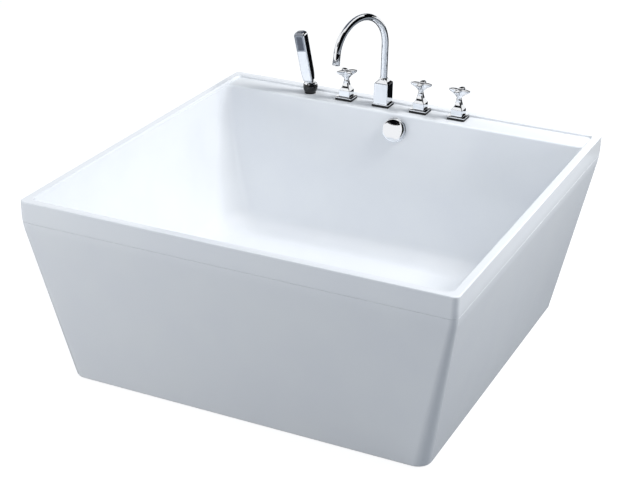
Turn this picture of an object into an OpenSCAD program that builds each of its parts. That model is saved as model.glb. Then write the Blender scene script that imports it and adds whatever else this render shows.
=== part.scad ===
// Square freestanding bathtub with a recessed tap deck, a five-piece deck tap set,
// a pop-up waste worked by the overflow knob, and a levelling frame under the basin.
// Millimetres. The origin is on the floor under the middle of the tub.
// +X runs along the front, +Y towards the taps and +Z up.

/* [Tub] */
// Length of the tub along its front
tub_l = 1350; // [1300:10:1500]
// Width of the tub from front to back
tub_w = 1350; // [1300:10:1500]
// Height of the rim above the floor
tub_h = 600; // [560:5:640]
// Height of the basin's floor above the room's floor, as the trap needs it
floor_h = 130; // [130:5:170]
// How far the outside leans in by floor level
base_inset = 93; // [70:1:100]
// Height of the upright band round the rim
band_h = 66; // [50:1:80]
// Half the height of the soft bend under the band
bend_h = 30; // [20:1:40]
// Corner radius of the outside at the rim
corner_r = 18; // [12:1:30]
// Corner radius of the outside at the floor
base_corner_r = 45; // [30:1:60]
// Width of the flat rim at the front and sides
rim_w = 26; // [24:1:34]
// Width of the raised rim behind the taps
back_rim_w = 33; // [24:1:40]
// Rounding of the rim's edges
rim_edge_r = 4; // [2:0.5:5]
// Thickness of the acrylic basin
shell_t = 6; // [5:0.5:7]
// Thickness of the acrylic skirt
skirt_t = 5; // [4:0.5:6]
// Gap between the skirt and the floor
skirt_lift = 3; // [2:0.5:8]
// Gap at the seam between the rim band and the skirt
seam_gap = 0.4; // [0.2:0.1:1]
// Height of the skirt's flange inside the band
flange_h = 38; // [25:1:45]

/* [Basin] */
// How far the front and side walls draw in by the floor
wall_draw = 95; // [60:1:110]
// Curve of the walls: 1 is straight, more is fuller at the top
wall_curve = 1.7; // [1.2:0.1:2.2]
// Height of the upright top of the walls, from the rim
wall_top_h = 45; // [35:1:60]
// Lean of the back wall from upright, in degrees
back_lean = 17.4; // [12:0.2:20]
// Radius between the walls and the basin floor
floor_r = 60; // [40:1:80]
// Corner radius of the basin at the rim
inner_corner_r = 22; // [15:1:30]
// Corner radius of the basin at the floor
floor_corner_r = 110; // [80:1:140]

/* [Tap deck] */
// Drop of the tap deck below the rim
deck_drop = 8; // [5:1:10]
// Depth of the flat tap deck, front to back
deck_d = 86; // [80:1:92]
// Rounding from the deck into the basin
deck_lip_r = 9; // [8:1:14]
// Distance between neighbouring taps
tap_pitch = 137; // [125:1:145]
// Place along X of the handset, the first of the row
first_tap_x = -353; // [-370:1:-340]
// Distance from the taps' line to the deck's back edge
tap_back = 31; // [30:1:33]
// Diameter of each tap hole in the deck
tap_hole_d = 32; // [30:1:34]
// Thickness of the plywood under the deck
deck_board_t = 15; // [12:1:18]

/* [Taps] */
// Width of each square cover plate
plate_w = 62; // [54:1:66]
// Depth of each square cover plate
plate_d = 54; // [50:1:56]
// Thickness of each cover plate
plate_t = 3; // [2.5:0.5:4]
// Thickness of the black gasket under each cover plate
gasket_t = 8; // [6:0.5:10]
// Thickness of the gasket under the handset's holder
holder_gasket_t = 4; // [3:0.5:5]
// Diameter of the threaded shank of each fitting
shank_d = 28; // [26:0.5:29]
// Thickness of the nuts that clamp the fittings
deck_nut_t = 10; // [8:1:12]
// Width across the corners of those nuts
deck_nut_w = 46; // [40:1:50]
// Width of the pedestals at the foot
pedestal_w = 40; // [36:1:44]
// Width of the pedestals at the neck
neck_w = 18; // [16:1:22]
// Height of the pedestals
pedestal_h = 56; // [50:1:64]
// Reach of a handle's lobes from its axis
handle_r = 37; // [30:1:40]
// Height of the handles
handle_h = 36; // [30:1:40]
// Diameter of the valve spindles
spindle_d = 10; // [8:0.5:11]
// Diameter of the threaded water inlets
inlet_d = 20.96; // [18:0.01:24]
// Length of the threaded water inlets
inlet_l = 30; // [20:1:36]
// Diameter of the copper pipes between the valves
pipe_d = 15; // [12:1:16]

/* [Spout] */
// Diameter of the spout tube
spout_d = 23; // [20:0.5:24]
// Wall of the spout tube
spout_wall = 1.5; // [1:0.1:2.5]
// Radius of the spout's bend
spout_bend_r = 116; // [90:1:130]
// Height of the foot of the bend above the deck
spout_rise = 216; // [180:1:240]
// Turn of the bend from its foot to its outlet, in degrees
spout_sweep = 174; // [150:1:178]
// Straight length after the bend
spout_tail = 22; // [10:1:30]
// Length of the aerator at the outlet
aerator_l = 14; // [10:1:20]
// Turn of the spout to the left at rest, in degrees
spout_turn = 20; // [0:1:40]
// Width of the spout's base
spout_base_w = 50; // [46:1:50]
// Height of the square part of the spout's base
spout_base_h = 71; // [62:1:80]
// Height of the sloping top of the spout's base
spout_roof_h = 18; // [14:1:24]

/* [Handset] */
// Diameter of the handset's holder
holder_d = 50; // [46:1:54]
// Height of the handset's holder above its gasket
holder_h = 35; // [32:1:42]
// Lean of the handset to the left, in degrees
handset_left = 9.9; // [6:0.1:12]
// Lean of the handset to the front, in degrees
handset_fwd = 5; // [0:0.1:8]
// Length of the handset above the holder's seat
handset_l = 204; // [184:1:224]
// Width of the handset at its foot
handset_foot_w = 33; // [29:0.5:35]
// Width of the handset at its head
handset_head_w = 40; // [37:0.5:44]
// Depth of the handset above its foot
handset_depth = 34; // [32:0.5:37]
// Width of the spray face
spray_w = 22; // [16:0.5:26]
// Length of the spray face
spray_l = 49; // [40:1:60]

/* [Waste and overflow] */
// Distance of the waste behind the middle of the tub
waste_y = 120; // [90:1:150]
// Diameter of the waste's flange
waste_flange_d = 70; // [66:1:74]
// Diameter of the waste's throat
waste_throat_d = 42; // [38:1:44]
// Travel of the plug
plug_travel = 9; // [6:0.5:10]
// Diameter of the plug's cap
plug_d = 62; // [56:1:64]
// Distance of the overflow's centre below the rim
overflow_drop = 59; // [56:1:70]
// Diameter of the overflow's ring
overflow_ring_d = 84; // [78:1:86]
// Diameter of the overflow's knob
overflow_knob_d = 80; // [70:1:82]
// Thickness of the overflow's knob
overflow_knob_t = 12; // [8:1:14]
// Outside diameter of the overflow pipe
overflow_pipe_d = 32; // [30:0.5:34]
// Diameter of the trap's pipe
trap_d = 40; // [38:0.5:42]
// Radius of the trap's bend
trap_bend_r = 32; // [28:1:36]
// Gap between the trap and the floor
trap_gap = 6; // [4:1:8]
// Diameter of the pop-up cable
cable_d = 6; // [5:0.5:7]

/* [Frame] */
// Thickness of the board bonded under the basin
floor_board_t = 12; // [10:1:14]
// Side of the square steel rails
rail_s = 30; // [26:1:30]
// Wall of the steel rails
rail_wall = 2; // [1.5:0.25:3]
// Distance of the long rails from the board's side edges
rail_in = 70; // [40:5:100]
// Distance from a rail's end to the skirt
rail_end_gap = 15; // [10:1:30]
// Distance of the corner feet outside the long rails
foot_out = 100; // [60:5:120]
// Diameter of the feet's studs
foot_stud_d = 12; // [10:1:14]
// Diameter of the feet's pads
foot_pad_d = 50; // [40:1:60]
// Thickness of the feet's pads
foot_pad_t = 12; // [8:1:14]
// Thickness of the sheet-steel brackets
bracket_t = 3; // [2:0.5:4]
// Width of the brackets
bracket_w = 40; // [30:1:50]

/* [Hidden] */
$fn = 48;

arc_steps = 6;
slip = 0.1;        // running clearance between turning and sliding pieces
seat = 0.3;        // clearance between pieces that are bonded or clamped
eps = 1;           // how far a cut runs past a face

deck_z = tub_h - deck_drop;
floor_z = floor_h;
seam_z = tub_h - band_h;
bend_z = seam_z - 4;
bend_top = bend_z + bend_h;
lean_slope = base_inset / bend_z;
half_in_x = tub_l / 2 - rim_w;
half_in_y = tub_w / 2 - rim_w;
wall_top = tub_h - wall_top_h;
deck_back_y = tub_w / 2 - back_rim_w;
deck_front_y = deck_back_y - deck_d;
lip_z = deck_z - deck_lip_r;
tap_y = deck_back_y - tap_back;
function tap_x(i) = first_tap_x + i * tap_pitch;
holder_i = 0;
diverter_i = 1;
spout_i = 2;
hot_i = 3;
cold_i = 4;

// Inset of the outside at height z: upright band, soft bend, straight taper.
function lean(z) =
  z >= bend_top ? 0
  : z <= bend_z - bend_h ? lean_slope * (bend_z - z)
  : lean_slope * pow(bend_top - z, 2) / (4 * bend_h);
function out_corner(z) = corner_r + (base_corner_r - corner_r) * (1 - z / tub_h);

// Inset of the front and side walls of the basin at height z.
function draw(z) =
  z >= wall_top ? 0 : wall_draw * pow((wall_top - z) / (wall_top - floor_z), wall_curve);
// Place of the back wall at height z, t behind its visible face.
function lip_tangent(t) = lip_z + (deck_lip_r - t) * sin(back_lean);
function back_y(z, t = 0) =
  let (r = deck_lip_r - t, tz = lip_tangent(t))
  z <= tz ? deck_front_y - r * cos(back_lean) - (tz - z) * tan(back_lean)
  : z >= lip_z + r ? deck_front_y
  : deck_front_y - r * cos(asin((z - lip_z) / r));
function in_corner(z) =
  inner_corner_r + (floor_corner_r - inner_corner_r) * (deck_z - z) / (deck_z - floor_z);

function corner(cx, cy, r, a0, z) =
  [for (i = [0:arc_steps]) let (a = a0 + 90 * i / arc_steps) [cx + r * cos(a), cy + r * sin(a), z]];
// A rounded rectangle at height z, with one radius at the front and one at the back.
function box_ring(x0, x1, y0, y1, rf, rb, z) = concat(
  corner(x1 - rf, y0 + rf, rf, -90, z), corner(x1 - rb, y1 - rb, rb, 0, z),
  corner(x0 + rb, y1 - rb, rb, 90, z), corner(x0 + rf, y0 + rf, rf, 180, z));
function centred_ring(w, d, r, z) = box_ring(-w / 2, w / 2, -d / 2, d / 2, r, r, z);
function outer_ring(z, off) =
  let (i = off + lean(z), r = max(out_corner(z) - off, 3))
  box_ring(-tub_l / 2 + i, tub_l / 2 - i, -tub_w / 2 + i, tub_w / 2 - i, r, r, z);
// Basin section at height z, t outside its visible face and drawn in by a floor fillet.
function basin_ring(z, t, fillet = 0) =
  let (i = draw(z) - t + fillet, r = max(in_corner(z) + t - fillet / 2, 12))
  box_ring(-half_in_x + i, half_in_x - i, -half_in_y + i,
           z >= lip_z + deck_lip_r - t ? deck_front_y : back_y(z, t) - fillet, r, r, z);

// A closed skin through rings with equal numbers of points, listed from the bottom up.
module loft(rings) {
  m = len(rings[0]);
  k = len(rings);
  polyhedron(
    points = [for (r = rings) for (p = r) p],
    faces = concat(
      [[for (j = [0:m - 1]) j]],
      [for (i = [0:k - 2]) for (j = [0:m - 1])
        [i * m + j, (i + 1) * m + j, (i + 1) * m + (j + 1) % m]],
      [for (i = [0:k - 2]) for (j = [0:m - 1])
        [i * m + j, (i + 1) * m + (j + 1) % m, i * m + (j + 1) % m]],
      [[for (j = [m - 1:-1:0]) (k - 1) * m + j]]));
}

// A cylinder between two heights.
module cyl(d, z0, z1) {
  translate([0, 0, z0]) cylinder(d = d, h = z1 - z0);
}

// Local frame of the overflow: +Z out of the back wall into the basin.
module at_overflow() {
  z = tub_h - overflow_drop;
  translate([0, back_y(z), z]) rotate([90 - back_lean, 0, 0]) children();
}

module at_tap(i, z = deck_z) {
  translate([tap_x(i), tap_y, z]) children();
}

overflow_hole_d = 54;
waste_hole_d = 52;
waste_tube_d = 48;

// Basin with its rim, turned-down band and recessed tap deck, in one acrylic piece.
bend_levels = [for (i = [0:4]) seam_z + (bend_top - seam_z) * i / 4];
fillet_steps = 6;
wall_steps = 7;
module band_outside() {
  loft(concat(
    [for (z = bend_levels) outer_ring(z, 0)],
    [for (a = [0:30:90]) outer_ring(tub_h - rim_edge_r * (1 - sin(a)), rim_edge_r * (1 - cos(a)))]));
}
module band_inside() {
  loft(concat(
    [outer_ring(seam_z - eps, skirt_t)],
    [for (z = bend_levels) outer_ring(z, skirt_t)],
    [outer_ring(tub_h - shell_t, skirt_t)]));
}
module basin_solid(t, top) {
  bottom_z = floor_z - t;
  r = floor_r + t;
  wall_z = floor_z + floor_r;
  loft(concat(
    [for (i = [0:fillet_steps]) let (a = 90 * i / fillet_steps)
      basin_ring(bottom_z + r * (1 - cos(a)), t, r * (1 - sin(a)))],
    [for (i = [1:wall_steps]) basin_ring(wall_z + (wall_top - wall_z) * i / wall_steps, t)],
    [basin_ring(lip_tangent(t), t)],
    [for (a = [35:18:71]) basin_ring(lip_z + (deck_lip_r - t) * sin(a), t)],
    [basin_ring(lip_z + deck_lip_r - t, t), basin_ring(top, t)]));
}
module deck_opening() {
  step = seat + slip;
  y0 = -half_in_y - step;
  loft(concat(
    [box_ring(-half_in_x - step, half_in_x + step, y0, deck_back_y,
              inner_corner_r, inner_corner_r / 2, deck_z)],
    [for (a = [0:30:90]) let (o = rim_edge_r * (1 - cos(a)))
      box_ring(-half_in_x - step - o, half_in_x + step + o, y0 - o, deck_back_y + o,
               inner_corner_r + o, inner_corner_r / 2 + o, tub_h - rim_edge_r * (1 - sin(a)))],
    [box_ring(-half_in_x - step - rim_edge_r, half_in_x + step + rim_edge_r, y0 - rim_edge_r,
              deck_back_y + rim_edge_r, inner_corner_r + rim_edge_r,
              inner_corner_r / 2 + rim_edge_r, tub_h + eps)]));
}
module deck_slab() {
  side = half_in_x + shell_t - 0.5;
  y0 = deck_front_y - deck_lip_r / 2;
  translate([-side, y0, deck_z - shell_t])
    cube([2 * side, deck_back_y + shell_t - y0, tub_h - deck_z + 0.5]);
}
module inner_shell() {
  color("white") difference() {
    union() {
      difference() {
        band_outside();
        band_inside();
      }
      basin_solid(shell_t, tub_h - shell_t + 0.5);
      deck_slab();
    }
    basin_solid(0, deck_z + 0.5);
    deck_opening();
    for (i = [holder_i:cold_i]) at_tap(i) cyl(tap_hole_d, -shell_t - eps, eps);
    at_overflow() cyl(overflow_hole_d, -2 * shell_t, shell_t);
    translate([0, waste_y, floor_z]) cyl(waste_hole_d, -shell_t - eps, eps);
  }
}

// Tapered skirt, with a flange that is bonded inside the band.
skirt_edge_r = 5;
skirt_ledge_w = 20;
skirt_top = seam_z - seam_gap;
flange_off = skirt_t + seat;
flange_in = flange_off + skirt_t - 1;
flange_top = seam_z + flange_h;
// The inside starts to thicken at this height and inset, to meet the flange.
thicken_h = 16;
thicken_in = 1.5;
module outer_skirt() {
  bottom = skirt_lift;
  straight_top = bend_z - bend_h;
  color("whitesmoke") difference() {
    loft(concat(
      [for (a = [0:30:90]) outer_ring(bottom + skirt_edge_r * (1 - cos(a)),
                                      skirt_edge_r * (1 - sin(a)))],
      [for (i = [0:3]) outer_ring(straight_top + (skirt_top - straight_top) * i / 3, 0)],
      [for (z = [skirt_top, seam_z + 8, bend_top, flange_top]) outer_ring(z, flange_off)]));
    loft(concat(
      [outer_ring(bottom + skirt_t, skirt_t), outer_ring(straight_top, skirt_t),
       outer_ring(straight_top + thicken_h, skirt_t + thicken_in)],
      [for (z = [skirt_top - 6, seam_z + 8, bend_top, flange_top + eps]) outer_ring(z, flange_in)]));
    loft([outer_ring(bottom - eps, skirt_t + skirt_ledge_w),
          outer_ring(bottom + skirt_t + eps, skirt_t + skirt_ledge_w)]);
  }
}

// Boards that stiffen the basin floor and the deck.
board_edge_in = 24;
board_x = half_in_x - wall_draw - floor_r - board_edge_in;
board_front_y = half_in_y - wall_draw - floor_r - board_edge_in;
board_back_y = back_y(floor_z, shell_t) - floor_r - 16;
board_bottom = floor_z - shell_t - floor_board_t;
board_hole_d = waste_flange_d + 30;
pipe_slot_w = 62;
module floor_board() {
  color("burlywood") difference() {
    translate([-board_x, -board_front_y, board_bottom])
      cube([2 * board_x, board_front_y + board_back_y, floor_board_t]);
    translate([0, waste_y, board_bottom]) cyl(board_hole_d, -eps, floor_board_t + eps);
    translate([-pipe_slot_w / 2, waste_y, board_bottom - eps])
      cube([pipe_slot_w, board_back_y, floor_board_t + 2 * eps]);
  }
}
deck_board_z = deck_z - shell_t - deck_board_t;
module deck_board() {
  side = half_in_x - 6;
  color("burlywood") difference() {
    translate([-side, deck_front_y + 2, deck_board_z])
      cube([2 * side, deck_back_y - deck_front_y - 2, deck_board_t]);
    for (i = [holder_i:cold_i]) at_tap(i, deck_board_z) cyl(tap_hole_d + 2, -eps, deck_board_t + eps);
  }
}

// Frame: two long rails over three cross rails, bolted together.
long_rail_z = board_bottom - rail_s;
cross_rail_z = long_rail_z - rail_s;
front_rail_in = 235;
back_rail_in = 245;
middle_rail_from_waste = 180;
front_rail_y = -tub_w / 2 + front_rail_in;
middle_rail_y = waste_y - middle_rail_from_waste;
back_rail_y = tub_w / 2 - back_rail_in;
cross_ys = [front_rail_y, middle_rail_y, back_rail_y];
rail_x = board_x - rail_in;
foot_x = rail_x + foot_out;
function skirt_inside(half, z) = half - lean(z) - skirt_t;
long_rail_half = skirt_inside(tub_w / 2, long_rail_z) - rail_end_gap;
cross_rail_half = skirt_inside(tub_l / 2, cross_rail_z) - rail_end_gap;
bolt_d = 8;
bracket_screw_d = 5;
screw_in = 20;     // distance of a bracket's screw from the rail's end

module tube_along_x(half) {
  difference() {
    translate([-half, -rail_s / 2, 0]) cube([2 * half, rail_s, rail_s]);
    translate([-half - eps, -rail_s / 2 + rail_wall, rail_wall])
      cube([2 * (half + eps), rail_s - 2 * rail_wall, rail_s - 2 * rail_wall]);
  }
}
module long_rail(side) {
  color("silver") difference() {
    translate([side * rail_x, 0, long_rail_z]) rotate([0, 0, 90]) tube_along_x(long_rail_half);
    for (y = cross_ys)
      translate([side * rail_x, y, long_rail_z]) cyl(bolt_d + 2 * seat, -eps, rail_wall + eps);
    for (s = [-1, 1])
      translate([side * rail_x, s * (long_rail_half - screw_in), long_rail_z + rail_s])
        cyl(bracket_screw_d + 2 * seat, -rail_wall - eps, eps);
  }
}
module cross_rail(y, foot_xs) {
  color("silver") difference() {
    translate([0, y, cross_rail_z]) tube_along_x(cross_rail_half);
    for (s = [-1, 1]) {
      translate([s * rail_x, y, cross_rail_z]) cyl(bolt_d + 2 * seat, -eps, rail_s + eps);
      translate([s * (cross_rail_half - screw_in), y, cross_rail_z + rail_s])
        cyl(bracket_screw_d + 2 * seat, -rail_wall - eps, eps);
    }
    for (x = foot_xs) translate([x, y, cross_rail_z]) cyl(foot_stud_d + 2 * slip, -eps, rail_wall + eps);
  }
}
module rail_bolts() {
  nut_t = 6;
  color("gray") for (x = [-rail_x, rail_x]) for (y = cross_ys) translate([x, y, 0]) {
    cyl(bolt_d, cross_rail_z - nut_t, long_rail_z + rail_wall + nut_t + 2);
    translate([0, 0, cross_rail_z - nut_t]) cylinder(d = 15, h = nut_t, $fn = 6);
    translate([0, 0, long_rail_z + rail_wall]) cylinder(d = 15, h = nut_t, $fn = 6);
  }
}
// Bracket from a rail's end up along the inside of the skirt, drawn for the +X side.
bracket_up = 34;
bracket_in = 45;
module bracket(half, rail_half, z0) {
  xi = skirt_inside(half, z0) - seat;
  rise = bracket_up * lean_slope;
  translate([0, bracket_w / 2, 0]) rotate([90, 0, 0]) linear_extrude(bracket_w)
    polygon([[rail_half - bracket_in, z0], [xi, z0], [xi + rise, z0 + bracket_up],
             [xi + rise - bracket_t, z0 + bracket_up],
             [xi - bracket_t + bracket_t * lean_slope, z0 + bracket_t],
             [rail_half - bracket_in, z0 + bracket_t]]);
}
module on_rail_ends() {
  for (s = [0, 180]) {
    for (y = cross_ys) translate([0, y, 0]) rotate([0, 0, s]) {
      $half = tub_l / 2;
      $rail_half = cross_rail_half;
      $top = cross_rail_z + rail_s;
      children();
    }
    for (x = [-rail_x, rail_x]) translate([x, 0, 0]) rotate([0, 0, s + 90]) {
      $half = tub_w / 2;
      $rail_half = long_rail_half;
      $top = long_rail_z + rail_s;
      children();
    }
  }
}
module skirt_brackets() {
  color("silver") on_rail_ends() difference() {
    bracket($half, $rail_half, $top);
    translate([$rail_half - screw_in, 0, $top]) cyl(bracket_screw_d + 2 * seat, -eps, bracket_t + eps);
  }
}
module bracket_screws() {
  color("gray") on_rail_ends() translate([$rail_half - screw_in, 0, $top]) {
    cyl(bracket_screw_d, -8, bracket_t + 1);
    translate([0, 0, bracket_t]) cylinder(d = 9, h = 3);
  }
}

// Levelling feet: a stud moulded into a pad, with a lock nut under the rail.
corner_foot_xs = [-foot_x, foot_x];
foot_places = [[-foot_x, front_rail_y], [foot_x, front_rail_y], [-foot_x, back_rail_y],
               [foot_x, back_rail_y], [0, middle_rail_y]];
lock_nut_t = 8;
foot_travel = 15;
module foot_lock_nuts() {
  color("gray") for (p = foot_places) translate([p[0], p[1], cross_rail_z - lock_nut_t]) difference() {
    cylinder(d = foot_stud_d * 1.7, h = lock_nut_t, $fn = 6);
    cyl(foot_stud_d + 2 * slip, -eps, lock_nut_t + eps);
  }
}
module foot(i) {
  edge = 3;
  color("dimgray") translate([foot_places[i][0], foot_places[i][1], 0]) {
    cyl(foot_stud_d, foot_pad_t - eps, cross_rail_z + rail_wall + foot_travel + 4);
    cylinder(d = foot_pad_d, h = foot_pad_t - edge);
    translate([0, 0, foot_pad_t - edge]) cylinder(d1 = foot_pad_d, d2 = foot_pad_d - 4 * edge, h = edge);
    cyl(foot_stud_d + 10, foot_pad_t - eps, foot_pad_t + 4);
  }
}

// Waste: flange and plug in the basin floor, body and trap under it.
seal_t = 1.5;
lower_seal_t = 3;
flange_t = 3;
flange_top_z = floor_z + seal_t + flange_t;
waste_tube_bottom = floor_z - 36;
spider_z = floor_z - 28;
spider_t = 6;
stem_d = 8;
body_top_z = floor_z - shell_t - lower_seal_t;
body_d = waste_tube_d + 12;
waste_body_h = 62;
body_bottom_z = floor_z - waste_body_h;
body_neck_d = trap_d - 7;
trap_wall = 3;
trap_spring_z = trap_gap + trap_d / 2 + trap_bend_r;
trap_top_z = body_bottom_z + 2;
pipe_run_z = board_bottom - 13;
overflow_pipe_wall = 2;
spigot_d = overflow_pipe_d - 2 * overflow_pipe_wall - 2 * seat;
cable_x = overflow_pipe_d / 2 + cable_d / 2 + 5;

module at_waste(z = 0) {
  translate([0, waste_y, z]) children();
}
module waste_flange() {
  bar = 3;
  color("lightgray") at_waste() difference() {
    union() {
      translate([0, 0, floor_z + seal_t])
        cylinder(d1 = waste_flange_d, d2 = waste_flange_d - 6, h = flange_t);
      cyl(waste_tube_d, waste_tube_bottom, flange_top_z - 0.5);
    }
    difference() {
      cyl(waste_throat_d, waste_tube_bottom - eps, flange_top_z + eps);
      for (a = [0, 60, 120]) rotate([0, 0, a])
        translate([-waste_tube_d / 2, -bar / 2, spider_z]) cube([waste_tube_d, bar, spider_t]);
      cyl(stem_d + 6, spider_z, spider_z + spider_t);
    }
    cyl(stem_d + 2 * slip, spider_z - eps, spider_z + spider_t + eps);
  }
}
module waste_seals() {
  color("dimgray") at_waste() {
    difference() {
      cyl(waste_flange_d - 4, floor_z, floor_z + seal_t);
      cyl(waste_tube_d + 2 * seat, floor_z - eps, floor_z + seal_t + eps);
    }
    difference() {
      cyl(body_d + 8, body_top_z, body_top_z + lower_seal_t);
      cyl(waste_tube_d + 2 * seat, body_top_z - eps, body_top_z + lower_seal_t + eps);
    }
  }
}
module waste_body() {
  port = body_d / 2 + 18;
  collar = body_d + 8;
  color("white") at_waste() difference() {
    union() {
      cyl(body_d, body_bottom_z + 10, body_top_z);
      cyl(collar, body_top_z - 5, body_top_z);
      cyl(body_neck_d, body_bottom_z - 10, body_bottom_z + 12);
      translate([0, port, pipe_run_z]) rotate([90, 0, 0]) cyl(spigot_d, 0, port - waste_throat_d / 2 - 4);
      translate([cable_x, body_d / 2 + 6, pipe_run_z]) rotate([90, 0, 0]) cyl(cable_d + 6, 0, body_d / 2 + 6);
    }
    cyl(waste_tube_d + 2 * seat, waste_tube_bottom - seat, body_top_z + eps);
    cyl(waste_throat_d, body_bottom_z + 14, body_top_z);
    cyl(body_neck_d - 5, body_bottom_z - 10 - eps, body_top_z);
    translate([0, port + eps, pipe_run_z]) rotate([90, 0, 0]) cyl(spigot_d - 4, 0, port);
  }
}
module waste_plug() {
  gap = seat;
  color("lightgray") at_waste() difference() {
    union() {
      translate([0, 0, flange_top_z + gap]) cylinder(d = plug_d, h = 2);
      translate([0, 0, flange_top_z + gap + 2]) cylinder(d1 = plug_d, d2 = plug_d - 16, h = 3);
      cyl(stem_d + 8, flange_top_z - 10, flange_top_z + gap + eps);
    }
    cyl(stem_d + slip, flange_top_z - 10 - eps, flange_top_z);
  }
}
module plug_seal() {
  color("dimgray") at_waste() difference() {
    cyl(waste_throat_d - 2 * seat, flange_top_z - 8, flange_top_z - 3);
    cyl(stem_d + 8 + slip, flange_top_z - 8 - eps, flange_top_z);
  }
}
module plug_stem() {
  color("silver") at_waste() cyl(stem_d, spider_z - 14, flange_top_z - seat);
}
module trap_nut() {
  color("white") at_waste() difference() {
    translate([0, 0, trap_top_z - 14]) cylinder(d = trap_d + 16, h = 18, $fn = 8);
    cyl(trap_d + 2 * seat, trap_top_z - 14 - eps, trap_top_z);
    cyl(body_neck_d + 2 * seat, trap_top_z - eps, trap_top_z + 4 + eps);
  }
}
trap_out_bend_r = 25;
trap_out_z = trap_spring_z + 3;
trap_out_l = 60;
// The trap's path, drawn solid at diameter d, with its ends run out by e for the bore.
module trap_path(d, e) {
  u = trap_bend_r;
  cyl(d, trap_spring_z, trap_top_z + e);
  translate([u, 0, trap_spring_z]) rotate([90, 0, 0]) rotate([0, 0, 180])
    rotate_extrude(angle = 180) translate([u, 0]) circle(d = d);
  translate([2 * u, 0, 0]) cyl(d, trap_spring_z, trap_out_z);
  translate([2 * u + trap_out_bend_r, 0, trap_out_z]) rotate([90, 0, 0]) rotate([0, 0, 90])
    rotate_extrude(angle = 90) translate([trap_out_bend_r, 0]) circle(d = d);
  translate([2 * u + trap_out_bend_r, 0, trap_out_z + trap_out_bend_r]) rotate([0, 90, 0])
    cyl(d, 0, trap_out_l + e);
}
module trap_body() {
  color("white") at_waste() difference() {
    trap_path(trap_d, 0);
    trap_path(trap_d - 2 * trap_wall, eps);
  }
}

// Overflow: ring and knob on the back wall, body behind it.
of_seal_t = 3;
of_body_l = 26;
of_body_d = 56;
of_flange_d = 66;
of_back = -shell_t - of_seal_t - of_body_l;
of_spindle_d = 8;
of_drum_t = 7;
knob_gap = 3;
ring_t = 5;
neck_d = overflow_hole_d - 5;
overflow_z = tub_h - overflow_drop;
// Middle of the body in the tub's frame, where its spigot and pipe stand.
of_mid = shell_t + of_seal_t + of_body_l / 2;
pipe_y = back_y(overflow_z) + of_mid * cos(back_lean);
body_mid_z = overflow_z - of_mid * sin(back_lean);
spigot_top = body_mid_z - 18;   // clear of the spindle's drum
pipe_top = body_mid_z - of_body_d / 2 - 4;
spigot_bottom = pipe_top - 16;
pipe_bend_r = 50;

module overflow_ring() {
  color("lightgray") at_overflow() difference() {
    union() {
      cylinder(d = overflow_ring_d, h = ring_t - 2);
      translate([0, 0, ring_t - 2]) cylinder(d1 = overflow_ring_d, d2 = overflow_ring_d - 4, h = 2);
      cyl(neck_d, of_back + 14, eps);
    }
    cyl(neck_d - 4, of_back + 14 - eps, ring_t + eps);
  }
}
module overflow_knob() {
  t = overflow_knob_t;
  z0 = ring_t + knob_gap;
  d = overflow_knob_d;
  notch_d = 30;
  color("lightgray") at_overflow() difference() {
    rotate_extrude() polygon(concat(
      [[0, z0], [d / 2 - 1, z0], [d / 2, z0 + 1]],
      [for (a = [0:15:75]) [d / 2 - 4 * (1 - cos(a)), z0 + t - 6 + 4 * sin(a)]],
      [for (i = [1:5]) [(d / 2 - 5) * (1 - i / 5), z0 + t - 2 + 2 * sqrt(1 - pow(1 - i / 5, 2))]]));
    cyl(of_spindle_d + slip, z0 - eps, z0 + t - 5);
    translate([-d / 2 - notch_d / 3, 0, 0]) cyl(notch_d, z0 - eps, z0 + t + eps);
  }
}
module overflow_spindle() {
  color("silver") at_overflow() {
    cyl(of_spindle_d, of_back - of_drum_t - seat, ring_t + knob_gap + overflow_knob_t - 6);
    cyl(22, of_back - of_drum_t - seat, of_back - seat);
  }
}
module overflow_seal() {
  color("dimgray") at_overflow() difference() {
    cyl(of_flange_d, -shell_t - of_seal_t, -shell_t);
    cyl(overflow_hole_d - 4, -shell_t - of_seal_t - eps, -shell_t + eps);
  }
}
module overflow_body() {
  cavity = neck_d + 2 * seat;
  color("white") difference() {
    union() {
      at_overflow() {
        cyl(of_body_d, of_back, of_back + of_body_l);
        cyl(of_flange_d, of_back + of_body_l - 4, of_back + of_body_l);
      }
      translate([0, pipe_y, 0]) cyl(spigot_d, spigot_bottom, spigot_top);
      translate([cable_x, pipe_y, 0]) cyl(cable_d + 6, pipe_top - 8, body_mid_z - 8);
    }
    at_overflow() {
      cyl(cavity, of_back + 3, of_back + of_body_l + eps);
      cyl(of_spindle_d + 2 * slip, of_back - eps, of_back + 4);
    }
    translate([0, pipe_y, 0]) cyl(spigot_d - 4, spigot_bottom - eps, spigot_top);
  }
}
// Route down behind the basin and forward under it, for the pipe and for the cable.
module down_and_under(d, top, x, end_y, bend, e) {
  translate([x, pipe_y, 0]) cyl(d, pipe_run_z + bend, top + e);
  translate([x, pipe_y - bend, pipe_run_z + bend]) rotate([0, 90, 0])
    rotate_extrude(angle = 90) translate([bend, 0]) circle(d = d);
  translate([x, pipe_y - bend, pipe_run_z]) rotate([90, 0, 0]) cyl(d, 0, pipe_y - bend - end_y + e);
}
module overflow_pipe() {
  end_y = waste_y + body_d / 2 + seat;
  color("white") difference() {
    down_and_under(overflow_pipe_d, pipe_top, 0, end_y, pipe_bend_r, 0);
    down_and_under(overflow_pipe_d - 2 * overflow_pipe_wall, pipe_top, 0, end_y, pipe_bend_r, eps);
  }
}
module popup_cable() {
  color("dimgray")
    down_and_under(cable_d, pipe_top - 8, cable_x, waste_y + body_d / 2 + 6, pipe_bend_r, 0);
}

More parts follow.
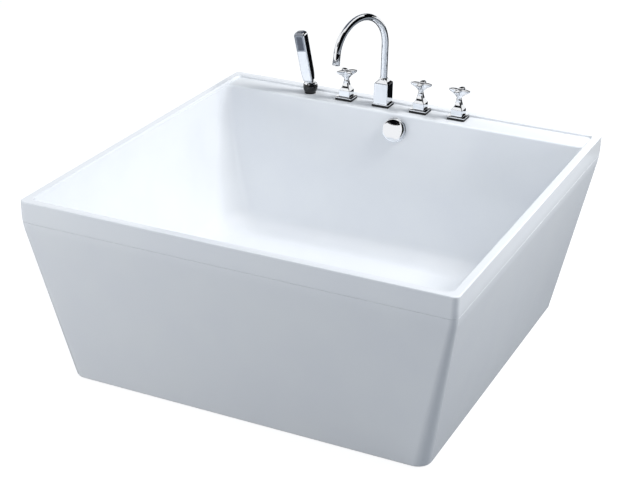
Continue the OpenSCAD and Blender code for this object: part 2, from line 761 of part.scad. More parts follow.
// Pieces that the fittings share.
plate_z = deck_z + gasket_t;
plate_top = plate_z + plate_t;
module deck_nuts() {
  color("goldenrod") for (i = [holder_i:cold_i]) at_tap(i, deck_board_z - deck_nut_t) difference() {
    cylinder(d = deck_nut_w, h = deck_nut_t, $fn = 6);
    cyl(shank_d + 2 * slip, -eps, deck_nut_t + eps);
  }
}
module plate_gaskets() {
  color("dimgray") for (i = [holder_i:cold_i]) at_tap(i) difference() {
    if (i == holder_i) cyl(holder_foot_d, 0, holder_gasket_t);
    else translate([0, 0, gasket_t / 2]) cube([plate_w - 1, plate_d - 1, gasket_t], center = true);
    cyl(shank_d + 2 * slip, -eps, gasket_t + eps);
  }
}
module cover_plates() {
  r = 2;
  color("lightgray") for (i = [diverter_i:cold_i]) at_tap(i, plate_z) difference() {
    loft([centred_ring(plate_w, plate_d, r, 0), centred_ring(plate_w, plate_d, r, plate_t - 1),
          centred_ring(plate_w - 2, plate_d - 2, r, plate_t)]);
    cyl(shank_d + 2 * slip, -eps, plate_t + eps);
  }
}

// Valves: shank and body under the deck, bonnet inside the pedestal.
low_port_down = 82;
high_port_down = 47;
low_port_z = deck_z - low_port_down;
high_port_z = deck_z - high_port_down;
valve_end = 16;
valve_bottom = low_port_z - valve_end;
bonnet_d = 24;
neck_h = 18;
bonnet_h = pedestal_h - neck_h;
port_d = pipe_d + 6;
port_l = 16;
pipe_in = 12;      // how far a pipe goes into a port
spindle_bottom = deck_z - 20;
neck_top = plate_top + pedestal_h;
handle_z = neck_top + 0.6;
module port(z, side) {
  translate([0, 0, z]) rotate([0, side * 90, 0]) cyl(port_d, 0, shank_d / 2 + port_l);
}
module port_bore(z, side) {
  inner = shank_d / 2 + port_l - pipe_in;
  translate([0, 0, z]) rotate([0, side * 90, 0]) {
    cyl(pipe_d - 2, 0, inner + eps);
    cyl(pipe_d + 2 * slip, inner - seat, inner + pipe_in + eps);
  }
}
// ports is a list of [height, side] pairs, with side -1 for left and 1 for right.
module valve(i, ports) {
  color("goldenrod") at_tap(i, 0) difference() {
    union() {
      cyl(shank_d, valve_bottom, plate_top);
      cyl(bonnet_d, plate_top - eps, plate_top + bonnet_h);
      cyl(inlet_d, valve_bottom - inlet_l, valve_bottom + eps);
      for (p = ports) port(p[0], p[1]);
    }
    cyl(spindle_d + 2 * slip, spindle_bottom - seat, plate_top + bonnet_h + eps);
    cyl(inlet_d - 5, valve_bottom - inlet_l - eps, high_port_z + 6);
    for (p = ports) port_bore(p[0], p[1]);
  }
}
module pedestal(i) {
  w = pedestal_w;
  flare = [for (t = [0:0.125:1]) [w - (w - neck_w) * (1 - pow(1 - t, 2)), t]];
  foot_h = pedestal_h * 0.4;
  color("lightgray") at_tap(i, plate_top) difference() {
    loft(concat(
      [centred_ring(w, w, 2, 0)],
      [for (f = flare) centred_ring(f[0], f[0], 2 + 4 * f[1], foot_h + (pedestal_h - foot_h) * f[1])]));
    cyl(bonnet_d + 2 * seat, -eps, bonnet_h + seat);
    cyl(spindle_d + 4 * seat, bonnet_h, pedestal_h + eps);
  }
}
module spindle(i) {
  color("silver") at_tap(i, 0) cyl(spindle_d, spindle_bottom, handle_z + handle_h - 12);
}
// Four-lobed handle: round at the neck, spreading to a star with hollow sides.
lobe_steps = 32;
function lobe(a, r0, r1) = r0 + (r1 - r0) * pow((1 + cos(4 * a)) / 2, 1.15);
function star_ring(r0, r1, z) =
  [for (j = [0:lobe_steps - 1]) let (a = 360 * j / lobe_steps, r = lobe(a, r0, r1))
    [r * cos(a), r * sin(a), z]];
module handle(i, turn) {
  r = handle_r;
  h = handle_h;
  waist = neck_w / 2;
  color("lightgray") at_tap(i, handle_z) rotate([0, 0, turn]) difference() {
    union() {
      loft([star_ring(waist, waist, 0), star_ring(waist - 1, waist - 1, h * 0.12),
            star_ring(waist, waist + 2, h * 0.28), star_ring(waist + 2, r * 0.52, h * 0.5),
            star_ring(waist + 4, r * 0.82, h * 0.68), star_ring(waist + 5.5, r - 0.8, h * 0.78),
            star_ring(waist + 6, r, h * 0.84), star_ring(waist + 6, r, h * 0.92),
            star_ring(waist + 5, r - 1.5, h * 0.97), star_ring(waist + 2, r - 6, h * 0.94)]);
      cyl(2 * waist - 1, h * 0.9, h - 1.5);
      translate([0, 0, h - 1.5]) cylinder(d1 = 2 * waist - 1, d2 = 2 * waist - 4, h = 1.5);
    }
    cyl(spindle_d + slip, -eps, h - 12 + seat);
  }
}

// Spout: shank, square base with a sloping top, bent tube and aerator.
spout_in = 28;
spout_shank_l = 58;
spout_seat = plate_top + spout_base_h - spout_in;
spout_shank_bottom = deck_z - spout_shank_l;
spout_spring_z = deck_z + spout_rise;
// The outlet end of the tube is swaged out to take the aerator, from just inside the bend.
swage = 0.4;
swage_lap = 0.5;
module spout_base() {
  w = spout_base_w;
  top = spout_base_h + spout_roof_h;
  color("lightgray") at_tap(spout_i, plate_top) difference() {
    loft([centred_ring(w, w, 1.5, 0), centred_ring(w, w, 1.5, spout_base_h),
          centred_ring(w * 0.8, w * 0.8, 3, spout_base_h + spout_roof_h * 0.35),
          centred_ring(spout_d + 6, spout_d + 6, 6, spout_base_h + spout_roof_h * 0.75),
          centred_ring(spout_d + 4, spout_d + 4, 8, top)]);
    cyl(spout_d + 2 * slip, spout_seat - plate_top, top + eps);
    cyl(shank_d + 2 * slip, -eps, spout_seat - plate_top - 1);
    cyl(spout_d - 6, 0, top);
  }
}
module spout_shank() {
  color("goldenrod") at_tap(spout_i, 0) difference() {
    union() {
      cyl(shank_d, spout_shank_bottom, spout_seat - 1 - seat);
      port(high_port_z, -1);
    }
    cyl(shank_d - 12, spout_shank_bottom + 4, spout_seat);
    port_bore(high_port_z, -1);
  }
}
// Path of the spout from z0 in its own frame, drawn at diameter d, reaching forward.
module spout_path(d, z0, tail, e) {
  cyl(d, z0 - e, spout_spring_z);
  translate([0, -spout_bend_r, spout_spring_z]) rotate([90, 0, 90])
    rotate_extrude(angle = spout_sweep) translate([spout_bend_r, 0]) circle(d = d);
  at_spout_end() cyl(d + swage, -tail - e, swage_lap);
}
// Frame at the end of the bend, with -Z along the flow.
module at_spout_end() {
  translate([0, -spout_bend_r, spout_spring_z]) rotate([spout_sweep, 0, 0])
    translate([0, spout_bend_r, 0]) rotate([180, 0, 0]) children();
}
module at_spout() {
  at_tap(spout_i, 0) rotate([0, 0, -spout_turn]) children();
}
module spout_tube() {
  color("lightgray") at_spout() difference() {
    spout_path(spout_d, spout_seat + seat, spout_tail, 0);
    spout_path(spout_d - 2 * spout_wall, spout_seat + seat, spout_tail, eps);
  }
}
module aerator() {
  color("silver") at_spout() at_spout_end() translate([0, 0, -spout_tail - aerator_l]) difference() {
    union() {
      cylinder(d = spout_d + 2, h = aerator_l);
      cyl(spout_d + swage - 2 * spout_wall - 2 * slip, aerator_l - eps, aerator_l + 6);
    }
    cyl(spout_d - 8, 3, aerator_l + 6 + eps);
    for (a = [0:60:300]) rotate([0, 0, a]) translate([spout_d / 4, 0, 0]) cyl(2.4, -eps, 4);
    cyl(2.4, -eps, 4);
  }
}

// Handset: it stands in a leaning socket and lifts out along it.
socket_depth = 19;
socket_z = deck_z + holder_gasket_t + holder_h - socket_depth;
holder_cap_t = 5;
holder_core_d = holder_d - 14;
holder_foot_d = holder_d - 11;
spigot_l = 26;
handset_spigot_d = 23;
tail_l = 11;
holder_shank_l = 90;
spray_from_top = 15;
module at_handset() {
  at_tap(holder_i, socket_z) rotate([handset_fwd, -handset_left, 0]) children();
}
module handset_holder() {
  top = holder_gasket_t + holder_h;
  color("lightgray") difference() {
    union() {
      at_tap(holder_i) {
        cyl(holder_core_d, holder_gasket_t, top - holder_cap_t + eps);
        translate([0, 0, top - holder_cap_t])
          cylinder(d1 = holder_d - 4, d2 = holder_d - 8, h = holder_cap_t);
        cyl(shank_d, -holder_shank_l, holder_gasket_t + eps);
      }
      at_handset() cyl(handset_spigot_d + 7, 0, spigot_l);
    }
    at_handset() cyl(handset_spigot_d + 2 * slip, -slip, spigot_l + 40);
    at_tap(holder_i) {
      cyl(handset_spigot_d + 5, holder_gasket_t + 5, socket_z - deck_z + 3);
      cyl(shank_d - 7, -holder_shank_l - eps, holder_gasket_t + 6);
    }
  }
}
// Barrel-shaped black collar between the holder's gasket and its cap, held by the cap.
module holder_collar() {
  h = holder_h - holder_cap_t;
  belly = 0.6;
  belly_r = holder_d / 2 + 0.5;
  foot_drop = belly_r - holder_foot_d / 2;
  bore_r = holder_core_d / 2 + seat;
  color("black") at_tap(holder_i, deck_z + holder_gasket_t) rotate_extrude() polygon(concat(
    [[bore_r, 0]],
    [for (t = [0:0.1:0.55]) [belly_r - foot_drop * pow(1 - t / belly, 2), h * t]],
    [for (t = [0.6:0.1:1.05]) [belly_r - 2.5 * pow((t - belly) / (1 - belly), 2), h * t]],
    [[bore_r, h]]));
}
function handset_ring(t, w, d, r) = centred_ring(w, d, r, spigot_l + seat + t);
handset_top = handset_l - spigot_l;
handset_panel_z = spigot_l + handset_top - spray_from_top - spray_l;
// The foot spreads to the full section over this length.
handset_spread = 36;
handset_foot_depth = handset_depth - 6;
function spread(t) = 1 - pow(1 - min(t / handset_spread, 1), 2);
function handset_w(t) = handset_foot_w + (handset_head_w - 2 - handset_foot_w) * spread(t)
  + 2 * t / handset_top;
function handset_d(t) = handset_foot_depth + (handset_depth - handset_foot_depth) * spread(t);
module handset_body() {
  dome = 13;
  z1 = handset_top - dome;
  w1 = handset_w(z1);
  panel = [spray_w + 2 * slip, 3, spray_l + 2 * slip];
  color("lightgray") at_handset() difference() {
    union() {
      loft(concat(
        [handset_ring(0, handset_foot_w - 2, handset_foot_depth - 2, 5)],
        [for (t = [1.5, 12, 24, handset_spread, z1 / 2, z1]) handset_ring(t, handset_w(t), handset_d(t), 6)],
        [for (a = [18:18:72]) let (s = cos(a))
          handset_ring(z1 + dome * sin(a), w1 - 22 * (1 - s), handset_depth - 17 * (1 - s), 6)],
        [handset_ring(handset_top, w1 - 22, handset_depth - 17, 6)]));
      cyl(handset_spigot_d, 0, spigot_l + seat + 2);
    }
    cyl(handset_spigot_d - 7, -eps, spigot_l);
    translate([-panel[0] / 2, -handset_depth / 2 - eps, handset_panel_z - slip])
      cube([panel[0], panel[1] + eps, panel[2]]);
  }
}
module spray_face() {
  nozzle_d = 1.6;
  color("dimgray") at_handset() {
    translate([-spray_w / 2, -handset_depth / 2 - 0.6, handset_panel_z])
      cube([spray_w, 3.4, spray_l]);
    for (i = [0:2]) for (j = [0:7])
      translate([(i - 1) * spray_w / 3.4, -handset_depth / 2 - 0.5,
                 handset_panel_z + spray_l * (j + 0.75) / 8.5])
        rotate([90, 0, 0]) cyl(nozzle_d, 0, 0.9);
  }
}
module handset_tail() {
  color("goldenrod") at_handset() difference() {
    union() {
      cyl(inlet_d, -tail_l, -seat);
      cyl(handset_spigot_d - 7 - 2 * slip, -seat - eps, spigot_l - 6);
    }
    cyl(handset_spigot_d - 12, -tail_l - eps, spigot_l);
  }
}

// Copper pipes between the fittings, from the port of one to the port of the next.
module pipe_between(i, j, z) {
  reach = shank_d / 2 + port_l - pipe_in;
  x0 = tap_x(i) + reach;
  color("peru") translate([x0, tap_y, z]) rotate([0, 90, 0]) difference() {
    cyl(pipe_d, 0, tap_x(j) - reach - x0);
    cyl(pipe_d - 2, -eps, tap_x(j) - reach - x0 + eps);
  }
}

inner_shell();
outer_skirt();
floor_board();
deck_board();
long_rail(-1);  // left_rail
long_rail(1);  // right_rail
cross_rail(front_rail_y, corner_foot_xs);  // front_cross_rail
cross_rail(middle_rail_y, [0]);  // middle_cross_rail
cross_rail(back_rail_y, corner_foot_xs);  // back_cross_rail
rail_bolts();
skirt_brackets();
bracket_screws();
foot_lock_nuts();
foot(0);  // front_left_foot
foot(1);  // front_right_foot
foot(2);  // back_left_foot
foot(3);  // back_right_foot
foot(4);  // middle_foot
waste_flange();
waste_seals();
waste_body();
waste_plug();
plug_seal();
plug_stem();
trap_nut();
trap_body();
overflow_ring();
overflow_knob();
overflow_spindle();
overflow_seal();
overflow_body();
overflow_pipe();
popup_cable();
deck_nuts();
plate_gaskets();
cover_plates();
handset_holder();
holder_collar();
handset_body();
spray_face();
handset_tail();
handle(diverter_i, 45);  // diverter_handle
spindle(diverter_i);  // diverter_spindle
pedestal(diverter_i);  // diverter_pedestal
valve(diverter_i, [[low_port_z, 1], [high_port_z, 1]]);  // diverter_valve
spout_tube();
aerator();
spout_base();
spout_shank();
handle(hot_i, 4);  // hot_handle
spindle(hot_i);  // hot_spindle
pedestal(hot_i);  // hot_pedestal
valve(hot_i, [[low_port_z, -1], [low_port_z, 1]]);  // hot_valve
handle(cold_i, -2);  // cold_handle
spindle(cold_i);  // cold_spindle
pedestal(cold_i);  // cold_pedestal
valve(cold_i, [[low_port_z, -1]]);  // cold_valve
pipe_between(diverter_i, hot_i, low_port_z);  // mixed_pipe
pipe_between(diverter_i, spout_i, high_port_z);  // spout_pipe
pipe_between(hot_i, cold_i, low_port_z);  // cold_pipe
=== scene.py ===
# Square bathtub with a recessed tap deck, dressed for rendering round its CAD frame.
# Lengths in the dictionaries are millimetres in the frame's own axes, unless a note says otherwise.
from math import cos, hypot, pi, radians, sin, sqrt, tan, tau

import bmesh
import bpy
from mathutils import Matrix, Vector


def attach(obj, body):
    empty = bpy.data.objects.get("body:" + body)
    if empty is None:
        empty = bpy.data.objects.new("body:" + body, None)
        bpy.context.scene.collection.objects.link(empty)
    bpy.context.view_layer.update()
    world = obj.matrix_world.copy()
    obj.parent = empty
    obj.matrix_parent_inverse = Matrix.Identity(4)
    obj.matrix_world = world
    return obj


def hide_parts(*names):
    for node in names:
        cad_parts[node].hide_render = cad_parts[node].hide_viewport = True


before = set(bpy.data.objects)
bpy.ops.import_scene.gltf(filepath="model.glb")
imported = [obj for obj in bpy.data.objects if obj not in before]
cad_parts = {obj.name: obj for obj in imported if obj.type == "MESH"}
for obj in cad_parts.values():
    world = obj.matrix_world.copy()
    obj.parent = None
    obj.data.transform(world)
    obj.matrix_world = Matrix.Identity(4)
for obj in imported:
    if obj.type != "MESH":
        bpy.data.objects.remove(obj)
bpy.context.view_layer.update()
print("frame loaded:", len(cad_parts), "nodes")


# Colour and shader nodes

def toLinear(hexColour):
    channels = [int(hexColour[i:i + 2], 16) / 255 for i in (1, 3, 5)]
    return tuple(c / 12.92 if c <= 0.04045 else ((c + 0.055) / 1.055) ** 2.4 for c in channels) + (1.0,)


# Adds a node with its settings, values and links; into is the socket that its output feeds.
def addNode(tree, kind, values=None, links=None, into=None, **settings):
    node = tree.nodes.new(kind)
    for name, value in settings.items():
        setattr(node, name, value)
    for name, value in (values or {}).items():
        node.inputs[name].default_value = value
    for name, socket in (links or {}).items():
        tree.links.new(socket, node.inputs[name])
    if into:
        tree.links.new(next(output for output in node.outputs if output.enabled), into)
    return node


def startMaterial(name, colour, metallic, roughness, **shader):
    material = bpy.data.materials.new(name)
    material.use_nodes = True
    material.diffuse_color = toLinear(colour)
    tree = material.node_tree
    surface = tree.nodes["Principled BSDF"]
    values = {"Base Color": toLinear(colour), "Metallic": metallic, "Roughness": roughness, **shader}
    for socket, value in values.items():
        surface.inputs[socket].default_value = value
    place = addNode(tree, "ShaderNodeTexCoord")
    return material, tree, surface, place.outputs["Object"]


# A finish with one pattern. size is the pattern's size in mm and span the part of its values that counts;
# second is the colour at the span's top and rough the roughness at its two ends; bump is strength and depth.
def makeFinish(name, look, metallic=0.0, texture="ShaderNodeTexNoise", read="Fac", **shader):
    material, tree, surface, place = startMaterial(name, look["colour"], metallic, look["roughness"], **shader)
    if "stretch" in look:
        place = addNode(tree, "ShaderNodeMapping", {"Scale": look["stretch"]}, {"Vector": place}).outputs["Vector"]
    pattern = addNode(tree, texture, {"Scale": 1000 / look["size"]}, {"Vector": place})
    if "detail" in look:
        pattern.inputs["Detail"].default_value = look["detail"]
    value = pattern.outputs[read]
    ends = {"From Min": look["span"][0], "From Max": look["span"][1]} if "span" in look else {}
    if "second" in look:
        share = addNode(tree, "ShaderNodeMapRange", ends, {"Value": value})
        addNode(tree, "ShaderNodeMix", {6: toLinear(look["colour"]), 7: toLinear(look["second"])},
                {0: share.outputs["Result"]}, surface.inputs["Base Color"], data_type="RGBA")
    if "rough" in look:
        addNode(tree, "ShaderNodeMapRange", {**ends, "To Min": look["rough"][0], "To Max": look["rough"][1]},
                {"Value": value}, surface.inputs["Roughness"])
    if "bump" in look:
        addNode(tree, "ShaderNodeBump", {"Strength": look["bump"][0], "Distance": look["bump"][1] / 1000},
                {"Height": value}, surface.inputs["Normal"])
    return material


# Sanitary acrylic: vacuum-formed sheet with a deep gloss, milky rather than chalky, and very slightly wavy
# where the hot sheet was drawn over the mould. Its fine wiping marks are 0.2 mm apart, drawn at 11 mm.
acrylic = {"colour": "#f1f3f5", "second": "#eff1f4", "roughness": 0.09, "size": 160.0, "detail": 2.0,
           "span": (0.35, 0.65), "bump": (0.1, 0.2), "mark": 11.2, "markRough": (0.06, 0.12)}


def makeAcrylic():
    material = makeFinish("SanitaryAcrylic", acrylic, IOR=1.49)
    tree = material.node_tree
    place = tree.nodes["Texture Coordinate"].outputs["Object"]
    marks = addNode(tree, "ShaderNodeTexNoise", {"Scale": 1000 / acrylic["mark"], "Detail": 3.0},
                    {"Vector": place})
    low, high = acrylic["markRough"]
    addNode(tree, "ShaderNodeMapRange", {"From Min": 0.3, "From Max": 0.7, "To Min": low, "To Max": high},
            {"Value": marks.outputs["Fac"]}, tree.nodes["Principled BSDF"].inputs["Roughness"])
    return material


# Chrome plate on polished brass: a hard mirror, a touch blue, with faint polishing haze.
chrome = {"colour": "#eff1f4", "roughness": 0.035, "size": 9.0, "detail": 4.0, "span": (0.35, 0.7),
          "rough": (0.035, 0.055)}

# Satin chrome: the plating over a bead-blasted face, without clear reflections; its darker mid grey is painted
# shade on the hand shower's head. The beads leave dents of 0.1 mm, drawn at 0.5 mm so that they show.
satinChromePaintedShade = {"colour": "#9ea3ac", "roughness": 0.34, "size": 0.5, "detail": 1.0, "bump": (0.2, 0.05)}

# EPDM rubber: moulded, black and dull with a fine grain.
rubber = {"colour": "#0c0d0e", "second": "#131415", "roughness": 0.62, "size": 0.8, "detail": 3.0,
          "span": (0.4, 0.7), "bump": (0.4, 0.15)}

# Polyamide, black: injection moulded, satin, with the mould's fine spark-eroded grain.
nylon = {"colour": "#17181a", "second": "#222427", "roughness": 0.42, "size": 0.6, "span": (0.2, 0.8),
         "bump": (0.3, 0.08)}

# ABS with a clear lacquer, black: the holder's collar, as glossy as a piano key.
glossCollar = {"colour": "#0b0c0e", "roughness": 0.09, "size": 5.0, "detail": 3.0, "span": (0.4, 0.7),
               "rough": (0.09, 0.12)}

# Polypropylene, white: injection moulded drain fittings, waxy, with faint flow marks.
polypropylene = {"colour": "#e6e6e0", "second": "#d9dad4", "roughness": 0.4, "size": 35.0, "detail": 5.0,
                 "span": (0.35, 0.7), "bump": (0.15, 0.3)}

# Electroplated zinc: bolts, nuts and screws, bright with a cold blue cast and small rub marks.
zincPlate = {"colour": "#c3c9ce", "second": "#a2a8ad", "roughness": 0.24, "size": 3.0, "detail": 5.0,
             "span": (0.45, 0.65), "rough": (0.24, 0.4)}

# Stainless steel bar: drawn along its length, with fine lines.
stainless = {"colour": "#b9babb", "roughness": 0.26, "size": 0.5, "detail": 2.0, "stretch": (1.0, 1.0, 0.05),
             "span": (0.3, 0.7), "rough": (0.2, 0.36)}

# Copper tube: drawn, warm, with brown oxide clouds and brighter handling marks.
copper = {"colour": "#c9835c", "second": "#9a5a3c", "roughness": 0.3, "size": 26.0, "detail": 6.0,
          "span": (0.42, 0.68), "rough": (0.3, 0.48)}

# Silicone and ABS spray plate: moulded in slate grey, soft sheen.
sprayPlate = {"colour": "#565b66", "second": "#666c78", "roughness": 0.3, "size": 1.0, "detail": 2.0,
              "span": (0.4, 0.65)}

# Free-cutting brass: turned, with a few tarnished patches and fine rings round the axis. The rings are
# drawn 1.2 mm apart, coarser than the tool leaves, so that they show.
brass = {"colour": "#c9a45a", "second": "#a07c3c", "roughness": 0.27, "size": 18.0, "detail": 4.0,
         "span": (0.45, 0.75), "ring": 1.2}


def makeBrass():
    material = makeFinish("TurnedBrass", brass, 1.0)
    tree = material.node_tree
    rings = addNode(tree, "ShaderNodeTexWave", {"Scale": 1000 / brass["ring"] / 6.28, "Distortion": 0.3},
                    {"Vector": tree.nodes["Texture Coordinate"].outputs["Object"]}, wave_type="BANDS",
                    bands_direction="Z")
    addNode(tree, "ShaderNodeBump", {"Strength": 0.2, "Distance": 0.00005}, {"Height": rings.outputs["Fac"]},
            tree.nodes["Principled BSDF"].inputs["Normal"])
    return material


# Hot-dip galvanised steel: frosty zinc crystals some 9 mm across, each with its own grey.
galvanised = {"colour": "#a9aeb3", "dark": "#8b9197", "roughness": 0.38, "rough": (0.3, 0.48), "crystal": 9.0}


def makeGalvanised():
    material, tree, surface, place = startMaterial("GalvanisedSteel", galvanised["colour"], 1.0,
                                                   galvanised["roughness"])
    crystals = addNode(tree, "ShaderNodeTexVoronoi", {"Scale": 1000 / galvanised["crystal"]}, {"Vector": place})
    grey = addNode(tree, "ShaderNodeSeparateColor", links={"Color": crystals.outputs["Color"]})
    addNode(tree, "ShaderNodeMix", {6: toLinear(galvanised["dark"]), 7: toLinear(galvanised["colour"])},
            {0: grey.outputs["Red"]}, surface.inputs["Base Color"], data_type="RGBA")
    low, high = galvanised["rough"]
    addNode(tree, "ShaderNodeMapRange", {"To Min": low, "To Max": high}, {"Value": grey.outputs["Green"]},
            surface.inputs["Roughness"])
    return material


# Chipboard: pressed wood flakes 2 to 6 mm long in glue, sawn edges.
chipboard = {"light": "#c8ac7e", "dark": "#8e6f46", "roughness": 0.75, "flake": 5.0, "flatness": 3.0}


def makeChipboard():
    material, tree, surface, place = startMaterial("Chipboard", chipboard["light"], 0.0, chipboard["roughness"])
    squash = addNode(tree, "ShaderNodeMapping", {"Scale": (1.0, 1.0, chipboard["flatness"])}, {"Vector": place})
    flakes = addNode(tree, "ShaderNodeTexVoronoi", {"Scale": 1000 / chipboard["flake"]},
                     {"Vector": squash.outputs["Vector"]})
    grey = addNode(tree, "ShaderNodeSeparateColor", links={"Color": flakes.outputs["Color"]})
    addNode(tree, "ShaderNodeMix", {6: toLinear(chipboard["dark"]), 7: toLinear(chipboard["light"])},
            {0: grey.outputs["Red"]}, surface.inputs["Base Color"], data_type="RGBA")
    addNode(tree, "ShaderNodeBump", {"Strength": 0.5, "Distance": 0.0003},
            {"Height": flakes.outputs["Distance"]}, surface.inputs["Normal"])
    return material


# Birch plywood: pale rotary-cut face with long soft grain, and dark glue lines between 1.4 mm plies.
plywood = {"light": "#d9bd8d", "grain": "#c3a170", "glue": "#8c6a42", "roughness": 0.55, "ply": 1.4,
           "glueLine": 0.25, "fibre": 4.0, "fibreStretch": 0.06}


def makePlywood():
    material, tree, surface, place = startMaterial("BirchPlywood", plywood["light"], 0.0, plywood["roughness"])
    along = addNode(tree, "ShaderNodeMapping", {"Scale": (plywood["fibreStretch"], 1.0, 1.0)}, {"Vector": place})
    fibre = addNode(tree, "ShaderNodeTexNoise", {"Scale": 1000 / plywood["fibre"], "Detail": 5.0},
                    {"Vector": along.outputs["Vector"]})
    share = addNode(tree, "ShaderNodeMapRange", {"From Min": 0.35, "From Max": 0.7},
                    {"Value": fibre.outputs["Fac"]})
    face = addNode(tree, "ShaderNodeMix", {6: toLinear(plywood["light"]), 7: toLinear(plywood["grain"])},
                   {0: share.outputs["Result"]}, data_type="RGBA")
    # glue lines show on the edges only, where the surface doesn't face up or down
    height = addNode(tree, "ShaderNodeSeparateXYZ", links={"Vector": place})
    inPly = addNode(tree, "ShaderNodeMath", {1: plywood["ply"] / 1000}, {0: height.outputs["Z"]},
                    operation="MODULO")
    inGlue = addNode(tree, "ShaderNodeMath", {1: plywood["glueLine"] / 1000}, {0: inPly.outputs[0]},
                     operation="LESS_THAN")
    facing = addNode(tree, "ShaderNodeNewGeometry")
    upward = addNode(tree, "ShaderNodeSeparateXYZ", links={"Vector": facing.outputs["Normal"]})
    flat = addNode(tree, "ShaderNodeMath", links={0: upward.outputs["Z"]}, operation="ABSOLUTE")
    edge = addNode(tree, "ShaderNodeMath", {1: 0.5}, {0: flat.outputs[0]}, operation="LESS_THAN")
    glued = addNode(tree, "ShaderNodeMath", links={0: edge.outputs[0], 1: inGlue.outputs[0]}, operation="MULTIPLY")
    addNode(tree, "ShaderNodeMix", {7: toLinear(plywood["glue"])}, {0: glued.outputs[0], 6: face.outputs[2]},
            surface.inputs["Base Color"], data_type="RGBA")
    return material


finishes = {
    "acrylic": makeAcrylic(), "chrome": makeFinish("ChromePlate", chrome, 1.0),
    "satinChromePaintedShade": makeFinish("SatinChromePaintedShade", satinChromePaintedShade, 1.0), "rubber": makeFinish("EpdmRubber", rubber),
    "nylon": makeFinish("BlackNylon", nylon, texture="ShaderNodeTexVoronoi", read="Distance", IOR=1.53),
    "glossBlack": makeFinish("LacqueredBlackAbs", glossCollar),
    "polypropylene": makeFinish("WhitePolypropylene", polypropylene, IOR=1.49), "galvanised": makeGalvanised(),
    "zinc": makeFinish("ZincPlatedSteel", zincPlate, 1.0), "brass": makeBrass(),
    "stainless": makeFinish("DrawnStainlessSteel", stainless, 1.0),
    "copper": makeFinish("DrawnCopper", copper, 1.0),
    "chipboard": makeChipboard(), "plywood": makePlywood(), "sprayPlate": makeFinish("SlateAbs", sprayPlate)}
print("materials made:", len(finishes))


# Meshes: a part is a list of points in millimetres and a list of faces

def joinParts(*parts):
    points, faces = [], []
    for partPoints, partFaces in parts:
        start = len(points)
        points += partPoints
        faces += [[start + i for i in face] for face in partFaces]
    return points, faces


def placePart(part, matrix):
    return [tuple(matrix @ Vector(point)) for point in part[0]], part[1]


def skin(rings, closed=False, caps=(True, True)):
    count = len(rings[0])
    faces = []
    for i in range(len(rings) if closed else len(rings) - 1):
        here, there = i * count, (i + 1) % len(rings) * count
        for j in range(count):
            k = (j + 1) % count
            faces.append([here + j, here + k, there + k, there + j])
    if caps[0] and not closed:
        faces.append(list(range(count))[::-1])
    if caps[1] and not closed:
        faces.append(list(range((len(rings) - 1) * count, len(rings) * count)))
    return [point for ring in rings for point in ring], faces


def cornerRing(x0, x1, y0, y1, frontRadius, backRadius, z, steps=10):
    ring = []
    for cx, cy, radius, start in (
            (x1 - frontRadius, y0 + frontRadius, frontRadius, -90),
            (x1 - backRadius, y1 - backRadius, backRadius, 0),
            (x0 + backRadius, y1 - backRadius, backRadius, 90),
            (x0 + frontRadius, y0 + frontRadius, frontRadius, 180)):
        for i in range(steps + 1):
            angle = radians(start + 90 * i / steps)
            ring.append((cx + radius * cos(angle), cy + radius * sin(angle), z))
    return ring


def squareRing(width, depth, radius, z, steps=8):
    return cornerRing(-width / 2, width / 2, -depth / 2, depth / 2, radius, radius, z, steps)


# Rounds the corners of a profile given as (radius from the axis, height, rounding).
def softProfile(corners, closed=False, steps=5):
    profile = []
    for i, (r, z, rounding) in enumerate(corners):
        point = Vector((r, z))
        atEnd = not closed and i in (0, len(corners) - 1)
        if atEnd or rounding == 0:
            profile.append((r, z))
            continue
        before = Vector(corners[i - 1][:2]) - point
        after = Vector(corners[(i + 1) % len(corners)][:2]) - point
        angle = before.angle(after)
        reach = min(rounding / tan(angle / 2), before.length * 0.48, after.length * 0.48)
        start, end = point + before.normalized() * reach, point + after.normalized() * reach
        for j in range(steps + 1):
            t = j / steps
            bent = start * (1 - t) ** 2 + point * 2 * t * (1 - t) + end * t ** 2
            profile.append((bent.x, bent.y))
    return profile


# A level ring round the axis, with its radius given for each angle by a function
def ringAt(z, radiusAt, steps):
    angles = [tau * j / steps for j in range(steps)]
    return [(radiusAt(a) * cos(a), radiusAt(a) * sin(a), z) for a in angles]


def spin(profile, steps=64, closed=False):
    return skin([ringAt(z, lambda a, r=r: r, steps) for r, z in profile], closed)


# A rod with a helical thread, between its core and its crest.
def threadRod(diameter, z0, z1, pitch, depth, steps=24, rowsPerTurn=6):
    rows = int((z1 - z0) / pitch * rowsPerTurn)

    def threadAt(angle, z):
        ends = min(1, (z - z0) / pitch, (z1 - z) / pitch)
        phase = (z / pitch - angle / tau) % 1
        return diameter / 2 - depth * (1 - ends * (1 - abs(2 * phase - 1)))

    heights = [z0 + (z1 - z0) * i / rows for i in range(rows + 1)]
    return skin([ringAt(z, lambda a, z=z: threadAt(a, z), steps) for z in heights])


# A hexagon prism whose corners are turned away by a cone at both ends, with a bore if it has a diameter.
def hexNut(acrossCorners, boreDiameter, z0, z1, countersink=0.8):
    apothem = acrossCorners / 2 * cos(radians(30))
    face = apothem * 0.97
    chamfer = (acrossCorners / 2 - apothem) * 0.7
    rings = [hexRing(apothem, limit, z) for z, limit in
             ((z0, face), (z0 + chamfer, acrossCorners), (z1 - chamfer, acrossCorners), (z1, face))]
    if boreDiameter:
        bore = boreDiameter / 2
        rings += [hexRing(r, r, z) for z, r in ((z1, bore + countersink), (z1 - countersink, bore),
                                                (z0 + countersink, bore), (z0, bore + countersink))]
    return skin(rings, closed=bool(boreDiameter))


def hexRing(apothem, limit, z):
    half = radians(30)
    return ringAt(z, lambda a: min(apothem / cos((a + half) % (2 * half) - half), limit), 48)


def addObject(name, data):
    item = bpy.data.objects.new(name, data)
    bpy.context.scene.collection.objects.link(item)
    return item


